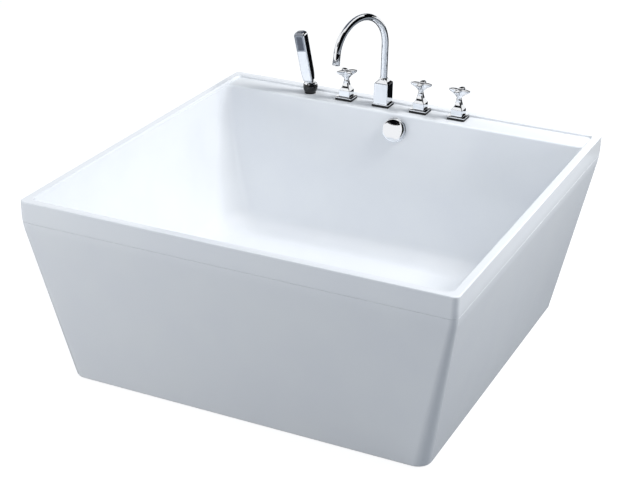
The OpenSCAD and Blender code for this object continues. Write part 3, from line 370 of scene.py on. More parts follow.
def meshObject(name, part, finish, crease=32, recalculate=True):
    mesh = bpy.data.meshes.new(name)
    mesh.from_pydata([[c / 1000 for c in point] for point in part[0]], [], part[1])
    if recalculate:
        shell = bmesh.new()
        shell.from_mesh(mesh)
        bmesh.ops.recalc_face_normals(shell, faces=shell.faces)
        shell.to_mesh(mesh)
        shell.free()
    mesh.materials.append(finishes[finish])
    mesh.shade_smooth()
    mesh.set_sharp_from_angle(angle=radians(crease))
    return addObject(name, mesh)


# Keeps broad flat faces flat up to their small edge roundings.
def flatten(piece):
    piece.modifiers.new("Normals", "WEIGHTED_NORMAL").keep_sharp = True
    return piece


def keepPiece(piece, body, slotName, *nodes):
    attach(piece, body)
    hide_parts(*nodes)
    return piece


# Makes the modifiers of a piece part of its mesh, so that the cutters can go.
def settle(piece, crease=32):
    mesh = bpy.data.meshes.new_from_object(piece.evaluated_get(bpy.context.evaluated_depsgraph_get()))
    piece.modifiers.clear()
    piece.data = mesh
    mesh.shade_smooth()
    mesh.set_sharp_from_angle(angle=radians(crease))


def cutWith(piece, cutters):
    for cutter in cutters:
        cut = piece.modifiers.new("Cut", "BOOLEAN")
        cut.operation = "DIFFERENCE"
        cut.solver = "EXACT"
        cut.object = cutter
    settle(piece)
    for cutter in cutters:
        bpy.data.objects.remove(cutter)


# A CAD node keeps its mesh: its split edges are welded and softened by modifiers only.
def dressNode(name, finish, edge=0.4, crease=30):
    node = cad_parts[name]
    node.data.materials.clear()
    node.data.materials.append(finishes[finish])
    weld = node.modifiers.new("Weld", "WELD")
    weld.merge_threshold = 0.00001
    soften = node.modifiers.new("Edges", "BEVEL")
    soften.width = edge / 1000
    soften.segments = 2
    soften.limit_method = "ANGLE"
    soften.angle_limit = radians(crease)
    soften.use_clamp_overlap = True
    node.modifiers.new("Normals", "WEIGHTED_NORMAL")


# Main sizes of the tub and places of the fittings

tub = {"length": 1350, "width": 1350, "rim": 600, "floor": 130, "seam": 534, "bend": 530, "bendHalf": 30,
       "baseInset": 93, "corner": 18, "baseCorner": 45, "rimWidth": 26, "rimRounding": 4, "bandEdge": 0.8,
       "bandThickness": 5}
basin = {"draw": 95, "curve": 1.7, "uprightFrom": 555, "backLean": radians(17.4), "floorRadius": 60,
         "corner": 22, "floorCorner": 110, "thickness": 6, "wasteY": 120, "wasteHole": 52}
deck = {"height": 592, "front": 556, "back": 642, "lip": 9, "cove": 3, "tapRow": 611, "firstTap": -353,
        "tapPitch": 137, "tapHole": 32, "plateTop": 603}
overflow = {"height": 541, "hole": 54, "ring": 84, "thickness": 5, "bore": 45, "sleeve": 49, "sleeveLength": 20}


def wallBack(z):
    lipHeight = deck["height"] - deck["lip"]
    tangentHeight = lipHeight + deck["lip"] * sin(basin["backLean"])
    if z <= tangentHeight:
        return (deck["front"] - deck["lip"] * cos(basin["backLean"])
                - (tangentHeight - z) * tan(basin["backLean"]))
    return deck["front"] - sqrt(max(deck["lip"] ** 2 - (z - lipHeight) ** 2, 0))


# The row from the left: hand shower, diverter, spout, hot, cold
def onDeck(index, z):
    return Matrix.Translation((deck["firstTap"] + index * deck["tapPitch"], deck["tapRow"], z))


tapPlaces = {"diverter": 1, "spout": 2, "hot": 3, "cold": 4}
tapFrame = {name: onDeck(index, deck["plateTop"]) for name, index in tapPlaces.items()}
overflowFrame = (Matrix.Translation((0, wallBack(overflow["height"]), overflow["height"]))
                 @ Matrix.Rotation(radians(90) - basin["backLean"], 4, "X"))


# Bath: one skin from the band's lower edge over the rim and the deck down to the floor, thickened behind

def leanIn(z):
    top = tub["bend"] + tub["bendHalf"]
    slope = tub["baseInset"] / tub["bend"]
    if z >= top:
        return 0
    if z <= tub["bend"] - tub["bendHalf"]:
        return slope * (tub["bend"] - z)
    return slope * (top - z) ** 2 / (4 * tub["bendHalf"])


def outsideRing(z, inset):
    radius = tub["corner"] + (tub["baseCorner"] - tub["corner"]) * (1 - z / tub["rim"])
    x, y = tub["length"] / 2 - inset - leanIn(z), tub["width"] / 2 - inset - leanIn(z)
    rounding = max(radius - inset, 3)
    return cornerRing(-x, x, -y, y, rounding, rounding, z)


def basinRing(z, fillet=0.0):
    fall = max(basin["uprightFrom"] - z, 0) / (basin["uprightFrom"] - tub["floor"])
    inset = basin["draw"] * fall ** basin["curve"] + fillet
    spread = (deck["height"] - z) / (deck["height"] - tub["floor"])
    radius = max(basin["corner"] + (basin["floorCorner"] - basin["corner"]) * spread - fillet / 2, 12)
    x = tub["length"] / 2 - tub["rimWidth"] - inset
    back = deck["front"] if z > deck["height"] - 0.2 else wallBack(z) - fillet
    return cornerRing(-x, x, -(tub["width"] / 2 - tub["rimWidth"] - inset), back, radius, radius, z)


def rimRing(z, outward=0.0, cove=0.0):
    x = tub["length"] / 2 - tub["rimWidth"] + outward
    return cornerRing(-x, x, -x, deck["back"] + outward - cove, basin["corner"] + outward,
                      basin["corner"] / 2 + outward, z)


def buildBath():
    rounding, edge, cove, lip = tub["rimRounding"], tub["bandEdge"], deck["cove"], deck["lip"]
    quarter = [radians(a) for a in range(0, 91, 15)]
    rings = [outsideRing(tub["seam"] + edge * (1 - cos(a)), edge * (1 - sin(a))) for a in quarter]
    rings += [outsideRing(z, 0) for z in (538, 542, 546, 550, 554, 557, 560, 578)]
    rings += [outsideRing(tub["rim"] - rounding * (1 - sin(a)), rounding * (1 - cos(a))) for a in quarter]
    rings += [rimRing(tub["rim"] - rounding * (1 - cos(a)), rounding * (1 - sin(a))) for a in quarter]
    rings += [rimRing(deck["height"] + cove * (1 - sin(a)), cove=cove * (1 - cos(a))) for a in quarter]
    rings.append(basinRing(deck["height"] - 0.15))
    rings += [basinRing(deck["height"] - lip + lip * sin(radians(a)))
              for a in (80, 70, 60, 50, 40, 30, 24, 17.4)]
    upright, wallLow = basin["uprightFrom"], tub["floor"] + basin["floorRadius"]
    rings += [basinRing(z) for z in (566, upright)]
    rings += [basinRing(upright + (wallLow - upright) * i / 30) for i in range(1, 31)]
    for a in [radians(90 - 5 * i) for i in range(1, 19)]:
        rings.append(basinRing(tub["floor"] + basin["floorRadius"] * (1 - cos(a)),
                               basin["floorRadius"] * (1 - sin(a))))
    bath = meshObject("BathShell", skin(rings, caps=(False, True)), "acrylic", recalculate=False)
    # the band's lower part is thinner, to clear the skirt behind it
    bandPoints = (len(quarter) + 8) * len(rings[0])
    thin = bath.vertex_groups.new(name="thickness")
    thin.add(list(range(bandPoints)), tub["bandThickness"] / basin["thickness"], "REPLACE")
    thin.add(list(range(bandPoints, len(rings) * len(rings[0]))), 1.0, "REPLACE")
    thicken = bath.modifiers.new("Thickness", "SOLIDIFY")
    thicken.thickness = basin["thickness"] / 1000
    thicken.offset = -1
    thicken.vertex_group = "thickness"
    settle(bath)
    print("bath skin:", len(bath.data.vertices), "points")
    return bath


def holeCutter(diameter, matrix, low=-20, high=20):
    rod = spin([(diameter / 2, low), (diameter / 2, high)])
    return meshObject("HoleCutter", placePart(rod, matrix), "acrylic")


bath = buildBath()
holes = [holeCutter(deck["tapHole"], onDeck(i, deck["height"])) for i in range(5)]
holes.append(holeCutter(overflow["hole"], overflowFrame))
holes.append(holeCutter(basin["wasteHole"], Matrix.Translation((0, basin["wasteY"], tub["floor"]))))
cutWith(bath, holes)
keepPiece(flatten(bath), "tub", "sanitary_acrylic", "inner_shell")


# Skirt: its top edge meets the band at the seam, and a tongue goes on up behind the band
skirt = {"lift": 3, "wall": 5, "ledge": 20, "shoulder": 533.6, "edge": 0.7, "tongueOut": 5.3, "tongueIn": 9.3,
         "tongueTop": 572, "tongueFoot": 527.6}


def buildSkirt():
    lift, wall, edge, shoulder, top = [skirt[k] for k in ("lift", "wall", "edge", "shoulder", "tongueTop")]
    quarter = [radians(a) for a in range(0, 91, 15)]
    rings = [outsideRing(lift + wall * (1 - cos(a)), wall * (1 - sin(a))) for a in quarter]
    rings += [outsideRing(z, 0) for z in (120, 250, 380, 500, 505, 510, 515, 520, 525, 529)]
    rings += [outsideRing(shoulder - edge * (1 - sin(a)), edge * (1 - cos(a))) for a in quarter]
    rings += [outsideRing(z, skirt["tongueOut"]) for z in (shoulder, 542, 560, top)]
    rings += [outsideRing(z, skirt["tongueIn"]) for z in (top, 560, 542, skirt["tongueFoot"])]
    rings += [outsideRing(z, inset) for z, inset in ((516, 6.5), (500, wall), (250, wall), (lift + wall, wall))]
    rings += [outsideRing(z, wall + skirt["ledge"]) for z in (lift + wall, lift)]
    return meshObject("TaperedSkirt", skin(rings, closed=True), "acrylic")


keepPiece(flatten(buildSkirt()), "tub", "skirt_acrylic", "outer_skirt")
print("skirt made")


# Fittings on the deck

star = {"height": 36, "button": 17, "gap": 0.6, "turns": {"diverter": 45, "hot": 4, "cold": -2}}
pedestalShape = {"foot": 40, "neck": 18, "height": 56, "footShare": 0.4}
# each level of the handle: share of its height, radius between the lobes, radius at the lobes' tips
starLevels = [(0.0, 8.4, 8.4), (0.02, 9.0, 9.0), (0.12, 8.0, 8.0), (0.2, 8.2, 8.6), (0.28, 9.0, 11.0),
              (0.38, 9.9, 14.6), (0.5, 11.0, 19.2), (0.6, 12.0, 25.6), (0.68, 13.0, 30.3), (0.74, 13.9, 34.0),
              (0.79, 14.6, 36.3), (0.84, 15.0, 37.0), (0.91, 15.0, 37.0), (0.935, 14.8, 36.7), (0.95, 14.2, 35.9),
              (0.958, 13.2, 34.4), (0.96, 11.6, 31.0), (0.95, 10.0, 24.0), (0.945, 9.0, 12.0)]


def starRing(inner, outer, z):
    return ringAt(z, lambda a: inner + (outer - inner) * ((1 + cos(4 * a)) / 2) ** 1.15, 96)


def buildHandle(which):
    height, radius = star["height"], star["button"] / 2
    lobes = skin([starRing(inner, outer, height * level) for level, inner, outer in starLevels])
    button = spin(softProfile([(radius - 0.9, height * 0.9, 0), (radius, height * 0.93, 0.2),
                               (radius, height - 0.1, 1.2), (0.3, height, 0)]))
    turned = tapFrame[which] @ Matrix.Translation((0, 0, pedestalShape["height"] + star["gap"]))
    turned = turned @ Matrix.Rotation(radians(star["turns"][which]), 4, "Z")
    return meshObject(which + "StarHandle", placePart(joinParts(lobes, button), turned), "chrome", crease=40)


def buildPedestal(which):
    foot, neck, height = pedestalShape["foot"], pedestalShape["neck"], pedestalShape["height"]
    upright = height * pedestalShape["footShare"]
    rings = [squareRing(foot - 1.2, foot - 1.2, 1.6, 0), squareRing(foot, foot, 2.2, 0.6),
             squareRing(foot, foot, 2.2, upright)]
    for i in range(1, 19):
        t = i / 18
        width = foot - (foot - neck) * (1 - (1 - t) ** 2)
        rings.append(squareRing(width, width, 2 + 4 * t, upright + (height - upright) * t * 0.985))
    rings.append(squareRing(neck - 1, neck - 1, 5.5, height))
    return meshObject(which + "Pedestal", placePart(skin(rings), tapFrame[which]), "chrome", crease=50)


for which in ("diverter", "hot", "cold"):
    keepPiece(buildHandle(which), which + "_control", "chrome_plate", which + "_handle")
    keepPiece(flatten(buildPedestal(which)), "tub", "chrome_plate", which + "_pedestal")


# Thin cover plates with soft edges, on thick rubber gaskets, and a flat ring under the hand shower's collar
plate = {"width": 62, "depth": 54, "thickness": 3, "gasket": 8, "bore": 28.2}
collarGasket = {"bore": 28.2, "diameter": 39, "thickness": 4}


def squarePad(width, depth, z0, z1, rounding, edge, bore):
    outer = [squareRing(width - 2 * edge * (1 - s), depth - 2 * edge * (1 - s), rounding, z) for s, z in
             ((0, z0), (0.7, z0 + edge * 0.3), (1, z0 + edge), (1, z1 - edge), (0.7, z1 - edge * 0.3), (0, z1))]
    inner = []
    for z in (z1, z0):
        corners = squareRing(width, depth, rounding, z)
        inner.append([(bore / 2 * x / hypot(x, y), bore / 2 * y / hypot(x, y), z)
                      for x, y, _ in corners])
    return skin(outer + inner, closed=True)


def buildPlates():
    pads = [placePart(squarePad(plate["width"], plate["depth"], 0, plate["thickness"], 2, 0.8, plate["bore"]),
                      onDeck(i, deck["height"] + plate["gasket"])) for i in range(1, 5)]
    return meshObject("CoverPlates", joinParts(*pads), "chrome")


def buildGaskets():
    pads = [placePart(squarePad(plate["width"] - 1, plate["depth"] - 1, 0, plate["gasket"], 2, 0.5,
                                plate["bore"]), onDeck(i, deck["height"])) for i in range(1, 5)]
    inner, outer = collarGasket["bore"] / 2, collarGasket["diameter"] / 2
    top = collarGasket["thickness"]
    ring = spin(softProfile([(inner, 0, 0), (outer, 0, 0.6), (outer, top, 0.6), (inner, top, 0)], closed=True),
                closed=True)
    return meshObject("DeckGaskets", joinParts(*pads, placePart(ring, onDeck(0, deck["height"]))), "rubber")


keepPiece(flatten(buildPlates()), "tub", "chrome_plate", "cover_plates")
keepPiece(flatten(buildGaskets()), "tub", "rubber", "plate_gaskets")


# Spout: a square block that slopes to a round collar, a swan neck and an aerator
spoutBase = {"block": 50, "height": 71, "corner": 1.7, "roof": 18, "roofEnd": 27, "bore": 23.4, "boreDepth": 26}


def buildSpoutBase():
    block, height, corner, roof, end, bore, depth = spoutBase.values()
    rings = [squareRing(block - 1, block - 1, 1.2, 0), squareRing(block, block, corner, 0.5),
             squareRing(block, block, corner, height - 0.6),
             squareRing(block - 0.5, block - 0.5, corner, height - 0.1)]
    for i in range(1, 17):
        t = i / 16
        width = end + (block - 1 - end) * (1 - t) ** 1.6
        rounding = min(corner + 11.7 * t ** 1.3, width / 2 - 0.1)
        rings.append(squareRing(width, width, rounding, height + roof * t * 0.97))
    rings.append(squareRing(end - 0.8, end - 0.8, 13, height + roof))
    rings += [squareRing(bore, bore, 11.6, z) for z in (height + roof, height - depth)]
    return meshObject("SpoutBase", placePart(skin(rings), tapFrame["spout"]), "chrome", crease=38)


keepPiece(flatten(buildSpoutBase()), "tub", "chrome_plate", "spout_base")

spout = {"diameter": 23, "wall": 1.5, "bend": 116, "spring": 808, "sweep": radians(174), "tail": 22,
         "foot": 646.3, "swage": 0.4, "turn": -20}
spoutFrame = onDeck(tapPlaces["spout"], 0) @ Matrix.Rotation(radians(spout["turn"]), 4, "Z")
upright = spout["spring"] - spout["foot"]
bendEnd = upright + spout["bend"] * spout["sweep"]
tubeEnd = bendEnd + spout["tail"]


# Place and lean of the spout's path, which goes upright first, then round the bend and down the tail
def spoutPath(along):
    bend, angle = spout["bend"], min(max(along - upright, 0) / spout["bend"], spout["sweep"])
    past = max(along - bendEnd, 0)
    return (bend * (cos(angle) - 1) - past * sin(angle),
            spout["foot"] + min(along, upright) + bend * sin(angle) + past * cos(angle), angle)


def spoutRing(along, radius, steps=40, flute=0.0):
    y, z, angle = spoutPath(along)
    level = ringAt(0, lambda a: radius - flute * (1 + cos(24 * a)) / 2, steps)
    return [(px, y + py * cos(angle), z + py * sin(angle)) for px, py, _ in level]


def buildSpout():
    radius, swage = spout["diameter"] / 2, spout["swage"] / 2
    stops = [(0, radius - 0.6), (0.6, radius), (upright * 0.5, radius), (upright, radius)]
    stops += [(upright + (bendEnd - upright) * i / 58, radius) for i in range(1, 58)]
    stops += [(bendEnd - 0.5, radius), (bendEnd, radius + swage), (tubeEnd, radius + swage)]
    bore = [(along, r - spout["wall"]) for along, r in reversed(stops)]
    return meshObject("SpoutTube", placePart(skin([spoutRing(a, r) for a, r in stops + bore], closed=True),
                                             spoutFrame), "chrome", crease=40)


# Aerator: fluted sleeve with a recessed grid of fine bars
aerator = {"grid": 12.3, "gridRadius": 8.8, "bar": 0.6, "pitch": 2.4}
# each level of the sleeve: distance from the tube's end, radius, depth of the flutes
aeratorLevels = [(0, 11.0, 0), (0.05, 12.1, 0), (0.5, 12.5, 0), (3.0, 12.5, 0), (3.4, 12.1, 0), (4.0, 12.1, 0),
                 (4.4, 12.5, 0), (4.8, 12.5, 0), (5.2, 12.5, 0.4), (12.4, 12.5, 0.4), (12.8, 12.5, 0),
                 (13.2, 12.5, 0), (13.8, 12.0, 0), (14, 11.4, 0), (13.8, 10.9, 0), (12.2, 10.6, 0),
                 (12.0, 10.2, 0), (12.0, 9.2, 0), (12.3, 8.9, 0), (12.3, 0.4, 0)]


def buildAerator():
    sleeve = skin([spoutRing(tubeEnd + along, r, 144, flute) for along, r, flute in aeratorLevels])
    y, z, angle = spoutPath(tubeEnd + aerator["grid"])
    outlet = Matrix.Translation((0, y, z)) @ Matrix.Rotation(angle, 4, "X")
    bar, bars = aerator["bar"], []
    for offset in [aerator["pitch"] * i for i in range(-3, 4)]:
        reach = 2 * sqrt(aerator["gridRadius"] ** 2 - offset ** 2)
        for width, depth, x, y in ((reach, bar, 0, offset), (bar, reach, offset, 0)):
            bars.append(placePart(skin([squareRing(width, depth, 0.1, z, 1) for z in (-0.4, 0.7)]),
                                  outlet @ Matrix.Translation((x, y, 0))))
    return meshObject("Aerator", placePart(joinParts(sleeve, *bars), spoutFrame), "chrome", crease=35)


keepPiece(buildSpout(), "spout", "chrome_plate", "spout_tube")
keepPiece(buildAerator(), "spout", "chrome_plate", "aerator")


# Hand shower: a barrel-shaped collar, a leaning body with a domed top, and its spray plate
collar = {"radius": 25.5, "bore": 18.3, "height": 30, "widest": 0.6, "footIn": 6, "topIn": 2.5}


def buildCollar():
    bore, height, widest = collar["bore"], collar["height"], collar["widest"]
    side = []
    for i in range(25):
        t = i / 24
        drawn = (collar["footIn"] * (1 - t / widest) ** 2 if t < widest
                 else collar["topIn"] * ((t - widest) / (1 - widest)) ** 2)
        side.append((collar["radius"] - drawn, height * t))
    profile = ([(bore, 0.1), (side[0][0] - 0.6, 0)] + side[1:-1]
               + [(side[-1][0] - 0.5, height), (bore, height - 0.1)])
    place = onDeck(0, deck["height"] + collarGasket["thickness"])
    return meshObject("HolderCollar", placePart(spin(profile, closed=True), place), "glossBlack")


keepPiece(buildCollar(), "tub", "black_abs", "holder_collar")


handset = {"height": 612, "leanLeft": -9.9, "leanBack": 5, "seat": 26.3, "length": 178, "foot": 33, "head": 40,
           "footDepth": 28, "depth": 34, "spread": 36, "dome": 13, "paintedShadeFrom": 110,
           "spigot": 23, "spigotBore": 19, "spigotTop": 27.5}
handsetFrame = (onDeck(0, handset["height"]) @ Matrix.Rotation(radians(handset["leanLeft"]), 4, "Y")
                @ Matrix.Rotation(radians(handset["leanBack"]), 4, "X"))


# Section of the hand shower t above its foot, drawn in by inset all round
def handsetRing(t, inset=0.0, insetDepth=None):
    spread = 1 - (1 - min(t / handset["spread"], 1)) ** 2
    width = handset["foot"] + (handset["head"] - 2 - handset["foot"]) * spread + 2 * t / handset["length"]
    depth = handset["footDepth"] + (handset["depth"] - handset["footDepth"]) * spread
    return squareRing(width - 2 * inset, depth - 2 * (inset if insetDepth is None else insetDepth), 6,
                      handset["seat"] + t)


def buildHandset():
    top, dome = handset["length"] - 0.3, handset["dome"]
    straight = top - dome
    rings = [handsetRing(0, 1), handsetRing(0.4, 0.3), handsetRing(1.2)]
    rings += [handsetRing(t) for t in (6, 12, 18, 24, 30, 36, 60, 85, handset["paintedShadeFrom"], 135, 150, straight)]
    for i in range(1, 17):
        a = radians(90 * i / 16.5)
        rings.append(handsetRing(straight + dome * sin(a), 11 * (1 - cos(a)), 8.5 * (1 - cos(a))))
    bore, outer, end = handset["spigotBore"] / 2, handset["spigot"] / 2, handset["spigotTop"]
    spigot = spin(softProfile([(bore, 0, 0), (outer, 0, 0.8), (outer, end, 0), (bore, end, 0)], closed=True),
                  closed=True)
    body = meshObject("HandsetBody", placePart(joinParts(skin(rings), spigot), handsetFrame), "chrome", crease=35)
    # the head round the spray plate gets satin chrome whose grey is painted shade, except on its right side, which
    # stays bright chrome
    # painted shade: faces of the head that don't face right get the darker grey finish
    body.data.materials.append(finishes["satinChromePaintedShade"])
    inside = handsetFrame.inverted()
    for face in body.data.polygons:
        height, rightward = (inside @ (face.center * 1000)).z, (inside.to_3x3() @ face.normal).x
        if height > handset["seat"] + handset["paintedShadeFrom"] and rightward < 0.3:
            face.material_index = 1
    return body


spray = {"width": 22, "length": 49, "fromTop": 15, "rows": 12, "pitch": 3.4, "rowPitch": 3.55}


def buildSprayPlate():
    width, length = spray["width"], spray["length"]
    low = handset["seat"] - 0.3 + handset["length"] - spray["fromTop"] - length
    lying = (Matrix.Translation((0, 1 - handset["depth"] / 2, low + length / 2))
             @ Matrix.Rotation(radians(90), 4, "X"))
    board = skin([squareRing(width - 2 * e, length - 2 * e, 3.5, z) for e, z in
                  ((0, -1), (0, 0.9), (0.25, 1.35), (0.8, 1.6))])
    groove = skin([squareRing(width - e, length - e, corner, z) for e, corner, z in
                   ((4.4, 2.4, 1.6), (4.8, 2.3, 1.95), (5.4, 2.1, 1.95))])
    nozzle = spin([(0.95, 1.5), (0.85, 2.2), (0.6, 2.45), (0.35, 2.45), (0.33, 2.0)], 14)
    nozzles = []
    for row in range(spray["rows"]):
        inRow = 5 if row % 2 else 4
        for column in range(inRow):
            place = ((column - (inRow - 1) / 2) * spray["pitch"],
                     (row - (spray["rows"] - 1) / 2) * spray["rowPitch"], 0)
            nozzles.append(placePart(nozzle, Matrix.Translation(place)))
    return meshObject("SprayPlate", placePart(joinParts(board, groove, *nozzles), handsetFrame @ lying),
                      "sprayPlate")


keepPiece(flatten(buildHandset()), "handset", "chrome_plate", "handset_body")
keepPiece(buildSprayPlate(), "handset", "grey_silicone", "spray_face")


# Overflow: ring against the wall, and a knob with a finger notch that turns
def buildOverflowRing():
    bore, sleeve, ring = [overflow[k] / 2 for k in ("bore", "sleeve", "ring")]
    back, top = -overflow["sleeveLength"], overflow["thickness"]
    profile = softProfile([(bore, back, 0), (sleeve, back, 0), (sleeve, 0.2, 0), (ring, 0.2, 0.3),
                           (ring, top, 2.2), (bore, top, 1.2)], closed=True)
    return meshObject("OverflowRing", placePart(spin(profile, 96, closed=True), overflowFrame), "chrome")


knob = {"diameter": 80, "thickness": 12, "gap": 3, "spindle": 8.4, "shoulder": 6.4, "roundIn": 5, "roundUp": 4.3,
        "notch": 30}


def buildKnob():
    radius, base = knob["diameter"] / 2, overflow["thickness"] + knob["gap"]
    top = base + knob["thickness"]
    shoulder = top - knob["shoulder"]
    profile = [(knob["spindle"] / 2, base), (radius - 1.2, base), (radius, base + 1.1), (radius, shoulder)]
    for i in range(1, 9):
        a = radians(90 * i / 8.6)
        profile.append((radius - knob["roundIn"] * (1 - cos(a)), shoulder + knob["roundUp"] * sin(a)))
    edge, rise = profile[-1][0], top - 0.2 - profile[-1][1]
    for t in [i / 12 for i in range(1, 13)]:
        profile.append((max(edge * (1 - t), 0.3), top - 0.2 - rise + rise * sin(t * pi / 2)))
    turned = meshObject("OverflowKnob", placePart(spin(profile, 96), overflowFrame), "chrome", crease=40)
    beside = overflowFrame @ Matrix.Translation((-radius - knob["notch"] / 3, 0, 0))
    cutWith(turned, [holeCutter(knob["notch"], beside, base - 2, top + 2)])
    return turned


keepPiece(buildOverflowRing(), "tub", "chrome_plate", "overflow_ring")
keepPiece(buildKnob(), "overflow_control", "chrome_plate", "overflow_knob")
print("deck fittings and overflow made")


# Levelling feet, nuts and bolts: the shapes of the fasteners with their threads and turned corners

feet = {"pad": 50, "padEdge": 9, "shoulder": 38, "shoulderTop": 12, "collar": 22, "collarTop": 16, "stud": 12,
        "studTop": 73, "pitch": 1.75, "threadDepth": 0.9, "nutCorners": 20.4, "nutBore": 12.2, "nutLow": 44,
        "nutTop": 52}
feetPlaces = [("front_left", -500, -440), ("front_right", 500, -440), ("back_left", -500, 430),
              ("back_right", 500, 430), ("middle", 0, -60)]


def buildFoot(name, x, y):
    wide, shoulder, collarSide = [feet[k] / 2 for k in ("pad", "shoulder", "collar")]
    shoulderTop, collarTop = feet["shoulderTop"], feet["collarTop"]
    pad = spin(softProfile([(0, 0, 0), (wide, 0, 1), (wide, feet["padEdge"], 2), (shoulder, shoulderTop, 3),
                            (collarSide, shoulderTop, 1), (collarSide, collarTop, 1), (0, collarTop, 0)]))
    stud = threadRod(feet["stud"], collarTop, feet["studTop"], feet["pitch"], feet["threadDepth"])
    standing = placePart(joinParts(pad, stud), Matrix.Translation((x, y, 0)))
    keepPiece(meshObject(name.title().replace("_", "") + "Foot", standing, "nylon"),
              name + "_leg", "black_nylon", name + "_foot")


for name, x, y in feetPlaces:
    buildFoot(name, x, y)
lockNut = hexNut(feet["nutCorners"], feet["nutBore"], feet["nutLow"], feet["nutTop"])
keepPiece(meshObject("FootLockNuts", joinParts(*[placePart(lockNut, Matrix.Translation((x, y, 0)))
                                                 for name, x, y in feetPlaces]), "zinc"),
          "tub", "zinc_plated_steel", "foot_lock_nuts")

bolts = {"size": 8, "corners": 15, "low": 46, "high": 92, "nutThickness": 6, "upperNut": 84, "pitch": 1.25,
         "threadDepth": 0.6, "x": 400, "y": (-440, -60, 430)}


def buildRailBolts():
    shank = threadRod(bolts["size"], bolts["low"] + 1, bolts["high"], bolts["pitch"], bolts["threadDepth"])
    bolt = joinParts(shank, *[hexNut(bolts["corners"], 0, low, low + bolts["nutThickness"])
                              for low in (bolts["low"], bolts["upperNut"])])
    row = [placePart(bolt, Matrix.Translation((x, y, 0))) for x in (-bolts["x"], bolts["x"]) for y in bolts["y"]]
    keepPiece(meshObject("RailBolts", joinParts(*row), "zinc"), "tub", "zinc_plated_steel", "rail_bolts")


buildRailBolts()

deckNut = {"corners": 46, "bore": 28.2, "low": 561, "top": 571}
nutPart = hexNut(deckNut["corners"], deckNut["bore"], deckNut["low"], deckNut["top"])
keepPiece(meshObject("DeckNuts", joinParts(*[placePart(nutPart, onDeck(i, 0)) for i in range(5)]), "brass"),
          "tub", "brass", "deck_nuts")
print("feet, nuts and bolts made")


# CAD nodes whose shape is right keep their mesh
dressed = {
    "chipboard": ["floor_board"], "plywood": ["deck_board"],
    "galvanised": ["left_rail", "right_rail", "front_cross_rail", "middle_cross_rail", "back_cross_rail",
                   "skirt_brackets"],
    "zinc": ["bracket_screws"],
    "nylon": ["popup_cable"],
    "rubber": ["waste_seals", "plug_seal", "overflow_seal"],
    "chrome": ["waste_flange", "waste_plug", "handset_holder"],
    "stainless": ["plug_stem"],
    "polypropylene": ["waste_body", "trap_nut", "trap_body", "overflow_body", "overflow_pipe"],
    "brass": ["overflow_spindle", "handset_tail", "diverter_spindle", "diverter_valve",
              "spout_shank", "hot_spindle", "hot_valve", "cold_spindle", "cold_valve"],
    "copper": ["mixed_pipe", "spout_pipe", "cold_pipe"]}
for finish, names in dressed.items():
    for name in names:
        dressNode(name, finish)
print("CAD nodes dressed:", sum(len(names) for names in dressed.values()))


# Camera, floor and lights

scene = bpy.context.scene
view = {"place": (1.8222, -4.0585, 2.3710), "azimuth": 24.839, "elevation": 24.505, "roll": 1.296, "lens": 90.18}


def buildCamera():
    azimuth, elevation, roll = [radians(view[k]) for k in ("azimuth", "elevation", "roll")]
    back = Vector((sin(azimuth) * cos(elevation), -cos(azimuth) * cos(elevation),
                   sin(elevation)))
    right = Vector((cos(azimuth), sin(azimuth), 0))
    up = back.cross(right)
    turnedRight = right * cos(roll) + up * sin(roll)
    turnedUp = up * cos(roll) - right * sin(roll)
    data = bpy.data.cameras.new("Camera")
    data.lens, data.sensor_width, data.clip_end = view["lens"], 36, 50
    camera = addObject("Camera", data)
    camera.matrix_world = Matrix((turnedRight, turnedUp, back)).transposed().to_4x4()
    camera.location = view["place"]
    scene.camera = camera


buildCamera()


def stagePlate(name, corners, material):
    mesh = bpy.data.meshes.new(name)
    mesh.from_pydata(corners, [], [list(range(len(corners)))])
    mesh.materials.append(material)
    staged = addObject(name, mesh)
    return staged


# Floor: a grey that takes the shadows, lifted to white by its glow for the camera alone
floorFinish = {"colour": "#7a7e83", "glow": 0.89, "halfWidth": 9}


def buildFloor():
    material, tree, surface = startMaterial("StudioFloor", floorFinish["colour"], 0.0, 0.9)[:3]
    surface.inputs["Emission Color"].default_value = (1, 1, 1, 1)
    seen = addNode(tree, "ShaderNodeLightPath")
    glow = addNode(tree, "ShaderNodeMath", {1: floorFinish["glow"]}, {0: seen.outputs["Is Camera Ray"]},
                   operation="MULTIPLY")
    tree.links.new(glow.outputs[0], surface.inputs["Emission Strength"])
    side = floorFinish["halfWidth"]
    stagePlate("StudioFloor", [(-side, -side, 0), (side, -side, 0), (side, side, 0), (-side, side, 0)], material)


buildFloor()

# World: a pale blue sky lights the set, and the camera and the mirror-like surfaces see plain white
sky = {"colour": "#e2eaf4", "strength": 0.6}


def buildWorld():
    world = bpy.data.worlds.new("Studio")
    world.use_nodes = True
    scene.world = world
    tree = world.node_tree
    lit = tree.nodes["Background"]
    lit.inputs["Color"].default_value = toLinear(sky["colour"])
    lit.inputs["Strength"].default_value = sky["strength"]
    shown = addNode(tree, "ShaderNodeBackground", {"Color": (1, 1, 1, 1), "Strength": 1.0})
    rays = addNode(tree, "ShaderNodeLightPath")
    seen = rays.outputs["Is Camera Ray"]
    for kind in ("Is Glossy Ray", "Is Transmission Ray"):
        seen = addNode(tree, "ShaderNodeMath", links={0: seen, 1: rays.outputs[kind]},
                       operation="MAXIMUM").outputs[0]
    addNode(tree, "ShaderNodeMixShader", links={"Fac": seen, 1: lit.outputs[0], 2: shown.outputs[0]},
            into=tree.nodes["World Output"].inputs["Surface"])


buildWorld()


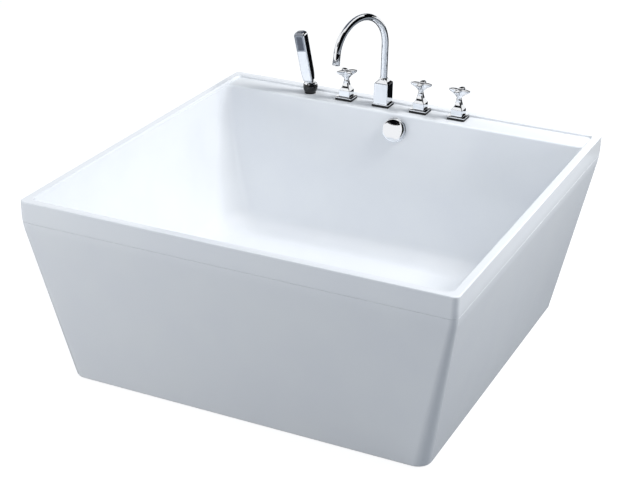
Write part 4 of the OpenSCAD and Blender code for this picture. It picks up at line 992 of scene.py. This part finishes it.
# Lamps: name, place, aim, width, height, power, all in metres and watts
lamps = [("KeyBehindRight", (2.9, 1.3, 3.9), (0.0, 0.1, 0.4), 1.4, 1.4, 168),
         ("FillFrontLeft", (-2.6, -2.8, 0.55), (-0.3, -0.6, 0.3), 1.0, 1.0, 38),
         ("SoftboxInFront", (-0.4, -4.4, 3.8), (-0.1, 0.2, 0.5), 4.0, 2.5, 28),
         ("StripAtRight", (1.4, 0.1, 0.8), (0.66, 0.05, 0.62), 1.2, 0.2, 1.3)]


def buildLamp(name, place, aim, width, height, power):
    light = bpy.data.lights.new(name, "AREA")
    light.shape = "RECTANGLE"
    light.size, light.size_y = width, height
    light.energy = power
    lamp = addObject(name, light)
    lamp.location = place
    lamp.visible_glossy = lamp.visible_camera = False
    lamp.rotation_mode = "QUATERNION"
    lamp.rotation_quaternion = (Vector(aim) - Vector(place)).to_track_quat("-Z", "Y")


for lamp in lamps:
    buildLamp(*lamp)


def uprightCard(x0, y0, x1, y1, low, high):
    return [(x0, y0, low), (x1, y1, low), (x1, y1, high), (x0, y0, high)]


def lyingCard(z, *corners):
    return [(x, y, z) for x, y in corners]


# Flags round the set, seen by mirror-like surfaces only: name, colour, corners in metres
cards = [("FlagOnFloor", "#0c0d0f",
          lyingCard(0.004, (-3.5, 0.75), (0.6, 0.75), (0.6, 2.0), (6.0, 2.0), (6.0, 6.0), (-3.5, 6.0))),
         ("FlagBehindRight", "#0c0d0f", uprightCard(0.5, 4.0, 6.0, 4.0, 1.7, 5.0)),
         ("FlagBehind", "#0c0d0f", uprightCard(-2.6, 4.0, 0.5, 4.0, 1.9, 3.4)),
         ("FlagOverHandset", "#8d93a0", lyingCard(1.6, (-1.4, 0.2), (-0.2, 0.2), (-0.2, 2.4), (-1.4, 2.4))),
         ("FlagFrontRight", "#0c0d0f", uprightCard(-0.3, -1.3, 1.3, -1.3, 0.7, 3.2)),
         ("FlagRight", "#0c0d0f", uprightCard(1.3, -1.3, 1.3, 1.5, 0.7, 3.2)),
         ("FlagFrontLeft", "#0c0d0f", uprightCard(-3.2, -3.2, -0.9, -3.2, 1.9, 2.9))]


def buildCard(name, colour, corners):
    dull = startMaterial(name, colour, 0.0, 0.9, **{"Specular IOR Level": 0.0})[0]
    card = stagePlate(name, corners, dull)
    card.visible_camera = card.visible_diffuse = card.visible_shadow = card.visible_transmission = False


for card in cards:
    buildCard(*card)
print("camera, floor, lights and cards set")

scene.view_settings.view_transform = "Standard"
